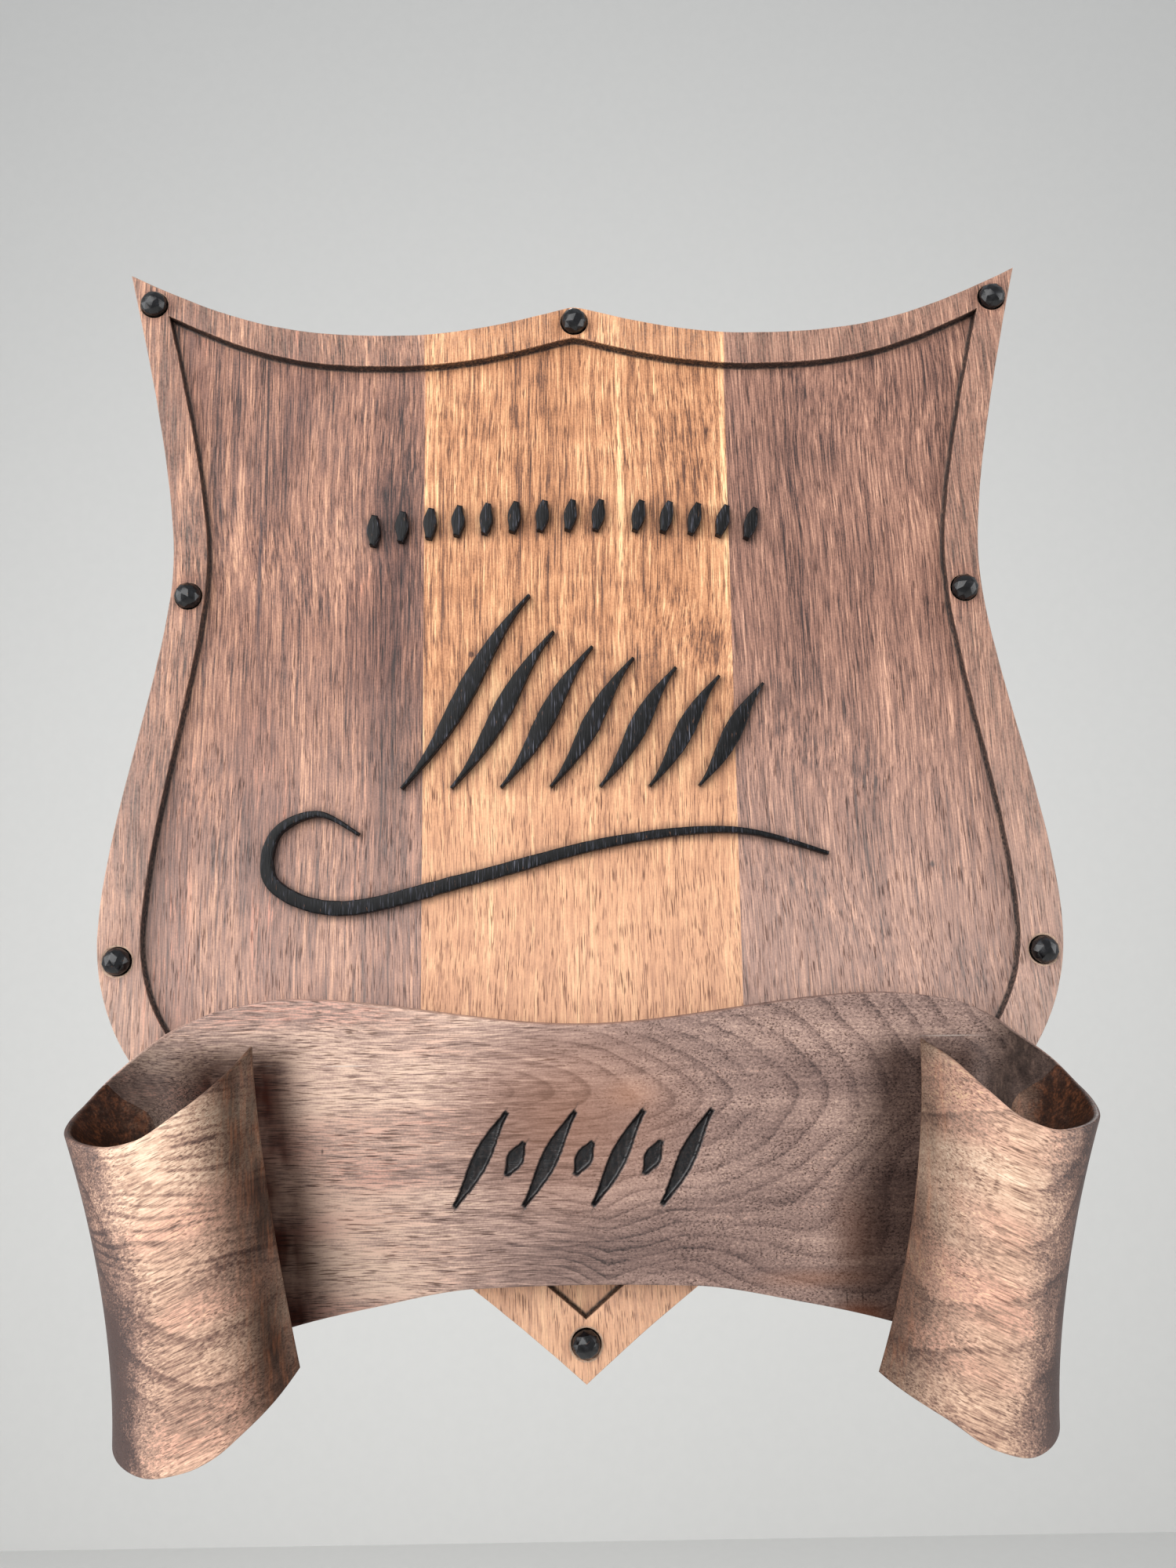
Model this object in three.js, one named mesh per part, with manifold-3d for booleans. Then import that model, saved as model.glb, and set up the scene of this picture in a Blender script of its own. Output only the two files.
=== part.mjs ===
// Wooden heraldic shield plaque: three boards glued edge to edge, with a raised rim around
// a sunk field, a ribbon banner with rolled ends across the foot, and eight domed studs.
// Millimetres. X to the right as seen from the front, +Z up, the face looks along -Y.
// The origin is the wall mount, in the middle of the flat back. Heights count from it.
// The solids are built face up, as (across, height, forward from the back), then stood up.
import * as THREE from "three";
import { mergeVertices } from "three/addons/utils/BufferGeometryUtils.js";
import Module from "manifold-3d";

// Boards of the shield
const PLANK_WIDTH = 152.4;
const BOARD_THICKNESS = 20;
const FIELD_DEPTH = 5;

// Outline of the shield, right half: half widths are insets from the widest line
const TOP_CORNER_INSET = 1.8;
const TOP_CORNER_HEIGHT = 269.6;
const TOP_DIP_X = 90;
const TOP_DIP_HEIGHT = 235.2;
const TOP_PEAK_HEIGHT = 249.7;
const WAIST_INSET = 29;
const WAIST_HEIGHT = 115;
const BULGE_HEIGHT = -68;
const SHOULDER_INSET = 63.6;
const SHOULDER_HEIGHT = -161;
const TIP_HEIGHT = -269.5;
const CORNER_SLOPE = 0.244;
const TOP_SLOPE = 0.5;
const SHOULDER_SLOPE = 0.364;
const TIP_SLOPE = 0.875;

// Handles of the outline's curves, as shares of each curve's own span
const PEAK_HANDLE = 0.08;
const DIP_HANDLES = [0.5, 0.4];
const CORNER_HANDLES = [0.4, 0.45];
const WAIST_HANDLES = [0.2, 0.27];
const BULGE_HANDLES = [0.3, 0.44];
const SHOULDER_HANDLES = [0.6, 0.26];
const TIP_HANDLE = 0.36;

// Width of the raised rim along the outline
const RIM_TOP = 17;
const RIM_CORNER_ACROSS = 20.2;
const RIM_CORNER_DOWN = 22.7;
const RIM_WAIST = 16.8;
const RIM_SIDE = 20.4;
const RIM_FOOT = 21;

// Studs on the rim
const STUD_DIAMETER = 13.4;
const STUD_SHANK = 8;
const STUD_COLLAR = 0.8;
const STUD_DOME = 5.2;
const STUD_CLEARANCE = 0.3;
const CORNER_STUD_IN = 12.8;
const CORNER_STUD_DOWN = 16.9;
const WAIST_STUD_DROP = 16.4;
const BULGE_STUD_DROP = 10.7;
const FOOT_STUD_UP = 17.7;

// Raised strokes on the field: an arched row of short ones, a row of large slanted ones
const RELIEF_HEIGHT = 4.5;
const SMALL_GROUPS = [9, 5];
const SMALL_PITCH = 14;
const SMALL_GAP = 20;
const SMALL_LENGTH = 15.5;
const SMALL_STROKE_WIDTH = 6.6;
const SMALL_STROKE_ENDS = 0.45;
const SMALL_BOW = 0.8;
const SMALL_LEAN = 12;
const SMALL_ROW_X = -7;
const SMALL_ROW_HEIGHT = 139;
const SMALL_ROW_RADIUS = 720;
const LARGE_COUNT = 7;
const LARGE_PITCH = 24;
const LARGE_FIRST_X = -86;
const LARGE_FOOT_HEIGHT = 2;
const LARGE_TALLEST = 96;
const LARGE_SHORTEST = 50;
const LARGE_STROKE_WIDTH = 9;
const LARGE_STROKE_ENDS = 0.16;
const LARGE_BOW_SHARE = 1 / 12;
const LARGE_LEAN = 33;
const SWASH_WIDTH = 7;
const SWASH_ENDS = 0.25;
const STROKE_SWELL_POWER = 1.5;

// Ribbon banner: a flat panel carved from thick stock, both ends rolled forward
const PANEL_THICKNESS = 12;
const PANEL_STOCK = 28;
const PANEL_TOP = -110;
const PANEL_BOTTOM = -223.5;
const ROLL_DEPTH = 92;
const ROLL_START_ANGLE = -90;
const ROLL_END_ANGLE = 140;
const ROLL_OUTER_X = 190.5;
const ROLL_FLARE = 25.5;
const ROLL_FLARE_POWER = 1.85;
const LEFT_LIP_X = 110.5;
const LEFT_LIP_SPREAD = 22;
const LEFT_LIP_POWER = 1.34;
const RIGHT_LIP_X = 113;
const RIGHT_LIP_SPREAD = 23;
const RIGHT_LIP_POWER = 2;
const ROLL_LIP_THICKNESS = 3;
const ROLL_CORE_THICKNESS = 15;
const ROLL_THINNED_ANGLE = -20;
const ROLL_SWOLLEN_ANGLE = -30;
const ROLL_MOUTH_LENGTH = 22;

// Sunk strokes on the banner: long slanted ones with short ones between
const CUT_DEPTH = 2;
const CUT_COUNT = 7;
const CUT_PITCH = 15.5;
const CUT_ROW_HEIGHT = -169;
const CUT_LONG = 48;
const CUT_SHORT = 17;
const CUT_STROKE_WIDTH = 8;
const CUT_STROKE_ENDS = 0.3;
const CUT_BOW_SHARE = 1 / 20;
const CUT_LEAN = 30;

// Facets along each curve of the outlines, along the strokes, round the studs and over
// the ribbon
const OUTLINE_STEPS = 10;
const FIELD_STEPS = 9;
const SMALL_STEPS = 6;
const LARGE_STEPS = 12;
const SWASH_STEPS = 36;
const CUT_STEPS = 10;
const STUD_FACETS = 16;
const DOME_STEPS = 5;
const PANEL_STEPS = 22;
const ROLL_STEPS = 24;
const RIBBON_ROWS = 12;

const wasm = await Module();
wasm.setup();

const HALF_WIDTH = 1.5 * PLANK_WIDTH;
const FIELD_LEVEL = BOARD_THICKNESS - FIELD_DEPTH;
const CUT_REACH = 1000;
const OVERRUN = 1;
const radians = THREE.MathUtils.degToRad;
const smooth = THREE.MathUtils.smoothstep;
const mix = THREE.MathUtils.lerp;

function solidOf(geometry) {
  const bare = geometry.clone();
  bare.deleteAttribute("normal");
  bare.deleteAttribute("uv");
  const merged = mergeVertices(bare, 1e-4);
  return new wasm.Manifold(
    new wasm.Mesh({
      numProp: 3,
      vertProperties: merged.attributes.position.array,
      triVerts: new Uint32Array(merged.index.array),
    }),
  );
}

function geometryOf(solid) {
  const mesh = solid.getMesh();
  const geometry = new THREE.BufferGeometry();
  geometry.setAttribute("position", new THREE.BufferAttribute(mesh.vertProperties, 3));
  geometry.setIndex(new THREE.BufferAttribute(mesh.triVerts, 1));
  return geometry;
}

function slab(shape, from, to) {
  const geometry = new THREE.ExtrudeGeometry(shape, { depth: to - from, bevelEnabled: false });
  return solidOf(geometry.translate(0, 0, from));
}

function block(x0, x1, z0, z1) {
  const geometry = new THREE.BoxGeometry(x1 - x0, 2 * CUT_REACH, z1 - z0);
  return solidOf(geometry.translate((x0 + x1) / 2, 0, (z0 + z1) / 2));
}

// Shield outline

const outer = {
  cornerX: HALF_WIDTH - TOP_CORNER_INSET,
  cornerY: TOP_CORNER_HEIGHT,
  dipX: TOP_DIP_X,
  dipY: TOP_DIP_HEIGHT,
  peakY: TOP_PEAK_HEIGHT,
  waistX: HALF_WIDTH - WAIST_INSET,
  waistY: WAIST_HEIGHT,
  bulgeX: HALF_WIDTH,
  bulgeY: BULGE_HEIGHT,
  shoulderX: HALF_WIDTH - SHOULDER_INSET,
  shoulderY: SHOULDER_HEIGHT,
  tipY: TIP_HEIGHT,
};

// The rim's width at the foot is square to the edge, so it is taken along the slopes there.
const inner = {
  cornerX: outer.cornerX - RIM_CORNER_ACROSS,
  cornerY: outer.cornerY - RIM_CORNER_DOWN,
  dipX: outer.dipX,
  dipY: outer.dipY - RIM_TOP,
  peakY: outer.peakY - RIM_TOP,
  waistX: outer.waistX - RIM_WAIST,
  waistY: outer.waistY,
  bulgeX: outer.bulgeX - RIM_SIDE,
  bulgeY: outer.bulgeY,
  shoulderX: outer.shoulderX - RIM_FOOT * Math.sin(Math.atan(SHOULDER_SLOPE)),
  shoulderY: outer.shoulderY + RIM_FOOT * Math.cos(Math.atan(SHOULDER_SLOPE)),
  tipY: outer.tipY + RIM_FOOT * Math.hypot(1, TIP_SLOPE),
};

// Right half from the peak clockwise to the tip, in six curves that meet smoothly,
// except at the top corner and the tip. Handles are shares of each curve's own span.
function halfOutline(o, steps) {
  const topSpan = o.cornerX - o.dipX;
  const flankSpan = o.cornerY - o.waistY;
  const hipSpan = o.waistY - o.bulgeY;
  const heelSpan = o.bulgeX - o.shoulderX;
  const heelDrop = o.bulgeY - o.shoulderY;
  const [dipIn, dipOut] = DIP_HANDLES;
  const [cornerIn, cornerOut] = CORNER_HANDLES;
  const [waistIn, waistOut] = WAIST_HANDLES;
  const [bulgeIn, bulgeOut] = BULGE_HANDLES;
  const [heelIn, footOut] = SHOULDER_HANDLES;
  const curves = [
    [
      [0, o.peakY],
      [PEAK_HANDLE * o.dipX, o.peakY],
      [dipIn * o.dipX, o.dipY],
      [o.dipX, o.dipY],
    ],
    [
      [o.dipX, o.dipY],
      [o.dipX + dipOut * topSpan, o.dipY],
      [o.cornerX - cornerIn * topSpan, o.cornerY - cornerIn * topSpan * TOP_SLOPE],
      [o.cornerX, o.cornerY],
    ],
    [
      [o.cornerX, o.cornerY],
      [o.cornerX - cornerOut * flankSpan * CORNER_SLOPE, o.cornerY - cornerOut * flankSpan],
      [o.waistX, o.waistY + waistIn * flankSpan],
      [o.waistX, o.waistY],
    ],
    [
      [o.waistX, o.waistY],
      [o.waistX, o.waistY - waistOut * hipSpan],
      [o.bulgeX, o.bulgeY + bulgeIn * hipSpan],
      [o.bulgeX, o.bulgeY],
    ],
    [
      [o.bulgeX, o.bulgeY],
      [o.bulgeX, o.bulgeY - bulgeOut * heelDrop],
      [o.shoulderX + heelIn * heelSpan, o.shoulderY + heelIn * heelSpan * SHOULDER_SLOPE],
      [o.shoulderX, o.shoulderY],
    ],
    [
      [o.shoulderX, o.shoulderY],
      [(1 - footOut) * o.shoulderX, o.shoulderY - footOut * o.shoulderX * SHOULDER_SLOPE],
      [TIP_HANDLE * o.shoulderX, o.tipY + TIP_HANDLE * o.shoulderX * TIP_SLOPE],
      [0, o.tipY],
    ],
  ];
  const points = [];
  for (const corners of curves) {
    const [a, b, c, d] = corners.map(([x, y]) => new THREE.Vector2(x, y));
    points.push(...new THREE.CubicBezierCurve(a, b, c, d).getPoints(steps).slice(0, -1));
  }
  points.push(new THREE.Vector2(0, o.tipY));
  return points;
}

function shieldShape(o, steps) {
  const right = halfOutline(o, steps);
  const left = right.slice(1, -1).reverse();
  return new THREE.Shape([...right, ...left.map((p) => new THREE.Vector2(-p.x, p.y))]);
}

// Strokes: a centre line with a swelling width, closed into a flat outline

function strokeShape(curve, width, ends, steps) {
  const leftSide = [];
  const rightSide = [];
  for (let i = 0; i <= steps; i++) {
    const t = i / steps;
    const at = curve.getPoint(t);
    const along = curve.getTangent(t);
    const swell = ends + (1 - ends) * Math.sin(Math.PI * t) ** STROKE_SWELL_POWER;
    const out = new THREE.Vector2(-along.y, along.x).multiplyScalar((width * swell) / 2);
    leftSide.push(at.clone().add(out));
    rightSide.unshift(at.clone().sub(out));
  }
  return new THREE.Shape([...leftSide, ...rightSide]);
}

// A slanted stroke standing on its foot, bowed one way below and the other way above.
function slantedStroke(footX, footY, rise, lean, bow) {
  const run = rise * Math.tan(radians(lean));
  return new THREE.CubicBezierCurve(
    new THREE.Vector2(footX, footY),
    new THREE.Vector2(footX + run / 3 + bow, footY + rise / 3),
    new THREE.Vector2(footX + (2 * run) / 3 - bow, footY + (2 * rise) / 3),
    new THREE.Vector2(footX + run, footY + rise),
  );
}

function smallStrokes() {
  const [first, second] = SMALL_GROUPS;
  const rowLength = (first + second - 2) * SMALL_PITCH + SMALL_GAP;
  const shapes = [];
  for (let i = 0; i < first + second; i++) {
    const skip = i < first ? 0 : SMALL_GAP - SMALL_PITCH;
    const x = SMALL_ROW_X + i * SMALL_PITCH + skip - rowLength / 2;
    const y = SMALL_ROW_HEIGHT - x ** 2 / (2 * SMALL_ROW_RADIUS);
    const lean = SMALL_LEAN + THREE.MathUtils.radToDeg(x / SMALL_ROW_RADIUS);
    const foot = x - (SMALL_LENGTH / 2) * Math.tan(radians(lean));
    const line = slantedStroke(foot, y - SMALL_LENGTH / 2, SMALL_LENGTH, lean, SMALL_BOW);
    shapes.push(strokeShape(line, SMALL_STROKE_WIDTH, SMALL_STROKE_ENDS, SMALL_STEPS));
  }
  return shapes;
}

function largeStrokes() {
  const shapes = [];
  for (let i = 0; i < LARGE_COUNT; i++) {
    const fall = i / (LARGE_COUNT - 1);
    const rise = mix(LARGE_TALLEST, LARGE_SHORTEST, Math.sqrt(fall));
    const x = LARGE_FIRST_X + i * LARGE_PITCH;
    const line = slantedStroke(x, LARGE_FOOT_HEIGHT, rise, LARGE_LEAN, rise * LARGE_BOW_SHARE);
    shapes.push(strokeShape(line, LARGE_STROKE_WIDTH, LARGE_STROKE_ENDS, LARGE_STEPS));
  }
  return shapes;
}

// The flourish under the large strokes: an open curl at the left that runs out in a long
// wave. Its points are shares of the row's length, measured from the first foot.
const SWASH_POINTS = [
  [-0.12, -0.13],
  [-0.24, -0.07],
  [-0.36, -0.13],
  [-0.36, -0.27],
  [-0.16, -0.34],
  [0.2, -0.26],
  [0.6, -0.16],
  [0.95, -0.13],
  [1.22, -0.2],
];

function swash() {
  const span = LARGE_COUNT * LARGE_PITCH;
  const at = (x, y) => new THREE.Vector2(LARGE_FIRST_X + x * span, LARGE_FOOT_HEIGHT + y * span);
  const curve = new THREE.SplineCurve(SWASH_POINTS.map(([x, y]) => at(x, y)));
  return strokeShape(curve, SWASH_WIDTH, SWASH_ENDS, SWASH_STEPS);
}

function cutStrokes() {
  const shapes = [];
  for (let i = 0; i < CUT_COUNT; i++) {
    const rise = (i % 2 === 0 ? CUT_LONG : CUT_SHORT) * Math.cos(radians(CUT_LEAN));
    const x = (i - (CUT_COUNT - 1) / 2) * CUT_PITCH;
    const foot = x - (rise / 2) * Math.tan(radians(CUT_LEAN));
    const bow = rise * CUT_BOW_SHARE;
    const line = slantedStroke(foot, CUT_ROW_HEIGHT - rise / 2, rise, CUT_LEAN, bow);
    shapes.push(strokeShape(line, CUT_STROKE_WIDTH, CUT_STROKE_ENDS, CUT_STEPS));
  }
  return shapes;
}

// Studs: a straight shank in the rim, a short collar and a dome

const studPlaces = {
  stud_top_left: [-(outer.cornerX - CORNER_STUD_IN), outer.cornerY - CORNER_STUD_DOWN],
  stud_top_center: [0, outer.peakY - RIM_TOP / 2],
  stud_top_right: [outer.cornerX - CORNER_STUD_IN, outer.cornerY - CORNER_STUD_DOWN],
  stud_waist_left: [-(outer.waistX - RIM_WAIST / 2), outer.waistY - WAIST_STUD_DROP],
  stud_waist_right: [outer.waistX - RIM_WAIST / 2, outer.waistY - WAIST_STUD_DROP],
  stud_side_left: [-(outer.bulgeX - RIM_SIDE / 2), outer.bulgeY - BULGE_STUD_DROP],
  stud_side_right: [outer.bulgeX - RIM_SIDE / 2, outer.bulgeY - BULGE_STUD_DROP],
  stud_foot: [0, outer.tipY + FOOT_STUD_UP],
};

function turned(profile, x, y) {
  const geometry = new THREE.LatheGeometry(
    profile.map(([radius, level]) => new THREE.Vector2(radius, level)),
    STUD_FACETS,
  );
  return solidOf(geometry.rotateX(Math.PI / 2).translate(x, y, 0));
}

function studSolid(x, y) {
  const radius = STUD_DIAMETER / 2;
  const foot = BOARD_THICKNESS - STUD_SHANK;
  const rimTop = BOARD_THICKNESS + STUD_COLLAR;
  const profile = [
    [0, foot],
    [radius, foot],
  ];
  for (let i = 0; i < DOME_STEPS; i++) {
    const turn = ((i / DOME_STEPS) * Math.PI) / 2;
    profile.push([radius * Math.cos(turn), rimTop + STUD_DOME * Math.sin(turn)]);
  }
  profile.push([0, rimTop + STUD_DOME]);
  return turned(profile, x, y);
}

function studHole(x, y) {
  const radius = STUD_DIAMETER / 2 + STUD_CLEARANCE;
  const foot = BOARD_THICKNESS - STUD_SHANK - STUD_CLEARANCE;
  const mouth = BOARD_THICKNESS + STUD_COLLAR;
  const profile = [
    [0, foot],
    [radius, foot],
    [radius, mouth],
    [0, mouth],
  ];
  return turned(profile, x, y);
}

// Ribbon. Its course p runs from 0 in the middle of the panel to 1 where the roll starts
// and 2 at the free lip, negative on the left; v runs from 0 at the bottom edge to 1 at
// the top edge. Each edge is a smooth line through stations of [course, rise], the rise
// from the middle of that edge as a share of the panel's height there. The two rolls are
// carved by eye, so each has its own edges and its own lip line: the lip stands lipX from
// the middle at the bottom and lipSpread further out at the top.

const LEFT_ROLL = {
  lipX: LEFT_LIP_X,
  lipSpread: LEFT_LIP_SPREAD,
  lipPower: LEFT_LIP_POWER,
  top: [
    [0, 0],
    [0.816, 0.1145],
    [0.951, 0.0846],
    [1.018, 0.0599],
    [1.113, -0.0026],
    [1.186, -0.0811],
    [1.26, -0.1674],
    [1.367, -0.2731],
    [1.5, -0.3278],
    [1.68, -0.3515],
    [1.75, -0.3322],
    [1.843, -0.2388],
    [1.918, -0.1471],
    [2, -0.03],
  ],
  bottom: [
    [0, 0],
    [0.33, -0.0088],
    [0.65, -0.0731],
    [0.93, -0.1542],
    [1.2, -0.304],
    [1.48, -0.3965],
    [1.65, -0.415],
    [1.76, -0.3806],
    [1.818, -0.3401],
    [1.875, -0.2731],
    [1.938, -0.1947],
    [2, -0.1048],
  ],
};
const RIGHT_ROLL = {
  lipX: RIGHT_LIP_X,
  lipSpread: RIGHT_LIP_SPREAD,
  lipPower: RIGHT_LIP_POWER,
  top: [
    [0, 0],
    [0.813, 0.1128],
    [0.949, 0.0952],
    [1.036, 0.067],
    [1.121, 0.0044],
    [1.175, -0.0564],
    [1.258, -0.1401],
    [1.355, -0.2396],
    [1.5, -0.3128],
    [1.69, -0.3374],
    [1.778, -0.296],
    [1.855, -0.1982],
    [1.932, -0.0916],
    [2, -0.0326],
  ],
  bottom: [
    [0, 0],
    [0.33, -0.0088],
    [0.65, -0.0731],
    [0.93, -0.1542],
    [1.2, -0.2863],
    [1.47, -0.3727],
    [1.64, -0.3974],
    [1.752, -0.3507],
    [1.847, -0.2599],
    [2, -0.148],
  ],
};

// Cubic pieces between the stations, level at a crest or a hollow and at the middle.
function alongStations(stations, at) {
  const last = stations.length - 1;
  const chord = (i) => (stations[i + 1][1] - stations[i][1]) / (stations[i + 1][0] - stations[i][0]);
  const slope = (i) => {
    if (i === 0) return 0;
    if (i === last) return chord(i - 1);
    const before = chord(i - 1);
    const after = chord(i);
    return before * after > 0 ? (2 * before * after) / (before + after) : 0;
  };
  let i = 0;
  while (i < last - 1 && at > stations[i + 1][0]) i++;
  const [x0, y0] = stations[i];
  const [x1, y1] = stations[i + 1];
  const span = x1 - x0;
  const t = THREE.MathUtils.clamp((at - x0) / span, 0, 1);
  const rise = y1 - y0;
  const m0 = slope(i) * span;
  const m1 = slope(i + 1) * span;
  return y0 + t * m0 + t * t * (3 * rise - 2 * m0 - m1) + t * t * t * (m0 + m1 - 2 * rise);
}

// The wall is full at the panel, thin at the lips, and heavier inside the roll, where the
// hollow narrows away from its two mouths.
function wallAt(angle, depth) {
  const thinned = smooth(angle, ROLL_START_ANGLE, ROLL_THINNED_ANGLE);
  const swollen = smooth(angle, ROLL_START_ANGLE, ROLL_SWOLLEN_ANGLE);
  const lip = mix(PANEL_THICKNESS, ROLL_LIP_THICKNESS, thinned);
  const swell = mix(PANEL_THICKNESS, ROLL_CORE_THICKNESS, swollen);
  const core = mix(swell, ROLL_LIP_THICKNESS, smooth(angle, 0, ROLL_END_ANGLE));
  return mix(lip, core, smooth(depth, 0, ROLL_MOUTH_LENGTH));
}

function ribbonPoint(p, v, front) {
  const side = p < 0 ? -1 : 1;
  const edges = p < 0 ? LEFT_ROLL : RIGHT_ROLL;
  const course = Math.abs(p);
  const tall = PANEL_TOP - PANEL_BOTTOM;
  const top = PANEL_TOP + tall * alongStations(edges.top, course);
  const bottom = PANEL_BOTTOM + tall * alongStations(edges.bottom, course);
  const height = mix(bottom, top, v);
  const outerX = ROLL_OUTER_X + ROLL_FLARE * v ** ROLL_FLARE_POWER;
  const lipX = edges.lipX + edges.lipSpread * (1 - (1 - v) ** edges.lipPower);
  const halfAcross = (outerX - lipX) / (1 - Math.cos(radians(ROLL_END_ANGLE)));
  const halfDeep = ROLL_DEPTH / 2;
  const centerX = outerX - halfAcross;
  if (course <= 1) {
    const level = front ? PANEL_THICKNESS : 0;
    return [side * course * centerX, height, BOARD_THICKNESS + level];
  }
  const angle = mix(ROLL_START_ANGLE, ROLL_END_ANGLE, course - 1);
  const depth = Math.min(top - height, height - bottom);
  const wall = front ? wallAt(angle, depth) : 0;
  const x = centerX + (halfAcross - wall) * Math.cos(radians(angle));
  const z = halfDeep + (halfDeep - wall) * Math.sin(radians(angle));
  return [side * x, height, BOARD_THICKNESS + z];
}

function ribbonSolid() {
  const rows = RIBBON_ROWS;
  const courses = [];
  for (let i = 0; i < ROLL_STEPS; i++) courses.push(-2 + i / ROLL_STEPS);
  for (let i = 0; i <= PANEL_STEPS; i++) courses.push(-1 + (2 * i) / PANEL_STEPS);
  for (let i = 1; i <= ROLL_STEPS; i++) courses.push(1 + i / ROLL_STEPS);
  const columns = courses.length - 1;
  const perFace = courses.length * (rows + 1);
  const positions = [];
  for (const front of [true, false])
    for (const p of courses)
      for (let j = 0; j <= rows; j++) positions.push(...ribbonPoint(p, j / rows, front));
  const front = (i, j) => i * (rows + 1) + j;
  const back = (i, j) => perFace + front(i, j);
  const index = [];
  const quad = (a, b, c, d) => index.push(a, b, c, a, c, d);
  for (let i = 0; i < columns; i++) {
    for (let j = 0; j < rows; j++) {
      quad(front(i, j), front(i + 1, j), front(i + 1, j + 1), front(i, j + 1));
      quad(back(i, j), back(i, j + 1), back(i + 1, j + 1), back(i + 1, j));
    }
    quad(back(i, 0), back(i + 1, 0), front(i + 1, 0), front(i, 0));
    quad(front(i, rows), front(i + 1, rows), back(i + 1, rows), back(i, rows));
  }
  for (let j = 0; j < rows; j++) {
    quad(back(0, j), front(0, j), front(0, j + 1), back(0, j + 1));
    quad(front(columns, j), back(columns, j), back(columns, j + 1), front(columns, j + 1));
  }
  const geometry = new THREE.BufferGeometry();
  geometry.setAttribute("position", new THREE.Float32BufferAttribute(positions, 3));
  geometry.setIndex(index);
  return solidOf(geometry);
}

// The whole shield, then its three boards

function shieldSolid() {
  let solid = slab(shieldShape(outer, OUTLINE_STEPS), 0, BOARD_THICKNESS);
  solid = solid.subtract(slab(shieldShape(inner, FIELD_STEPS), FIELD_LEVEL, CUT_REACH));
  for (const shape of [...smallStrokes(), ...largeStrokes(), swash()])
    solid = solid.add(slab(shape, FIELD_LEVEL - OVERRUN, FIELD_LEVEL + RELIEF_HEIGHT));
  for (const [x, y] of Object.values(studPlaces)) solid = solid.subtract(studHole(x, y));
  return solid;
}

const walnutDark = { color: 0x6f4d3b, roughness: 0.62, metalness: 0 };
const walnutGold = { color: 0xa5703f, roughness: 0.6, metalness: 0 };
const walnutGrey = { color: 0x7a5f50, roughness: 0.66, metalness: 0 };
const ebonyGloss = { color: 0x101012, roughness: 0.25, metalness: 0 };

const group = new THREE.Group();

function addNode(name, solid, finish) {
  const geometry = geometryOf(solid).rotateX(Math.PI / 2);
  geometry.computeVertexNormals();
  const mesh = new THREE.Mesh(geometry, new THREE.MeshStandardMaterial(finish));
  mesh.name = name;
  group.add(mesh);
}

const shield = shieldSolid();
const seam = PLANK_WIDTH / 2;
const board = (x0, x1) => shield.intersect(block(x0, x1, -OVERRUN, CUT_REACH));
addNode("shield_board_left", board(-CUT_REACH, -seam), walnutDark);
addNode("shield_board_center", board(-seam, seam), walnutGold);
addNode("shield_board_right", board(seam, CUT_REACH), walnutDark);

const ribbon = ribbonSolid();
const glueLevel = BOARD_THICKNESS + PANEL_STOCK;
let panel = ribbon.intersect(block(-CUT_REACH, CUT_REACH, 0, glueLevel));
for (const shape of cutStrokes()) {
  const faceLevel = BOARD_THICKNESS + PANEL_THICKNESS;
  panel = panel.subtract(slab(shape, faceLevel - CUT_DEPTH, faceLevel + OVERRUN));
}
addNode("banner_panel", panel, walnutGrey);
const roll = (x0, x1) => ribbon.intersect(block(x0, x1, glueLevel, CUT_REACH));
addNode("scroll_left", roll(-CUT_REACH, 0), walnutDark);
addNode("scroll_right", roll(0, CUT_REACH), walnutDark);

for (const [name, [x, y]] of Object.entries(studPlaces)) {
  addNode(name, studSolid(x, y), ebonyGloss);
}

export default group;
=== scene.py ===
import math

import bmesh
import bpy
import numpy as np
from mathutils import Matrix, Vector, noise
from mathutils.geometry import delaunay_2d_cdt


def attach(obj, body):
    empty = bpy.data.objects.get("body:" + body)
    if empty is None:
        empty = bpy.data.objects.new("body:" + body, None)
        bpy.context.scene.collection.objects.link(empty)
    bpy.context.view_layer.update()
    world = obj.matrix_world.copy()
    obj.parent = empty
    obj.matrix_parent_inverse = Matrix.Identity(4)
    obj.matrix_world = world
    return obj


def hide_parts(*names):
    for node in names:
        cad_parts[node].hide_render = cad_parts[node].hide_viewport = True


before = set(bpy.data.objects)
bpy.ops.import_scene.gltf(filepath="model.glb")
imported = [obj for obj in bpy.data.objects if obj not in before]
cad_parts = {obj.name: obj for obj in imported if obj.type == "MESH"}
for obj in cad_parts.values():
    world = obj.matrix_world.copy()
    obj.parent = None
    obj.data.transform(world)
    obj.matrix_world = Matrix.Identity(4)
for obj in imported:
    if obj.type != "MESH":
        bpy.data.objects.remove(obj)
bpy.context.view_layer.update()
scene = bpy.context.scene

# Sizes shared with the CAD source
PLANK_WIDTH, BOARD_THICKNESS, FIELD_LEVEL, RELIEF_HEIGHT = 152.4, 20.0, 15.0, 4.5
HALF_WIDTH, SEAM = 1.5 * PLANK_WIDTH, PLANK_WIDTH / 2
CORNER_HEIGHT, PEAK_HEIGHT, DIP_X, DIP_HEIGHT = 269.6, 249.7, 90.0, 235.2
WAIST_HEIGHT, BULGE_HEIGHT, SHOULDER_HEIGHT, TIP_HEIGHT = 115.0, -68.0, -161.0, -269.5
RIM_TOP, RIM_CORNER_ACROSS, RIM_CORNER_DOWN = 17.0, 20.2, 22.7
RIM_WAIST, RIM_SIDE, RIM_FOOT = 16.8, 20.4, 21.0
CORNER_SLOPE, TOP_SLOPE, SHOULDER_SLOPE, TIP_SLOPE = 0.244, 0.5, 0.364, 0.875
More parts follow.
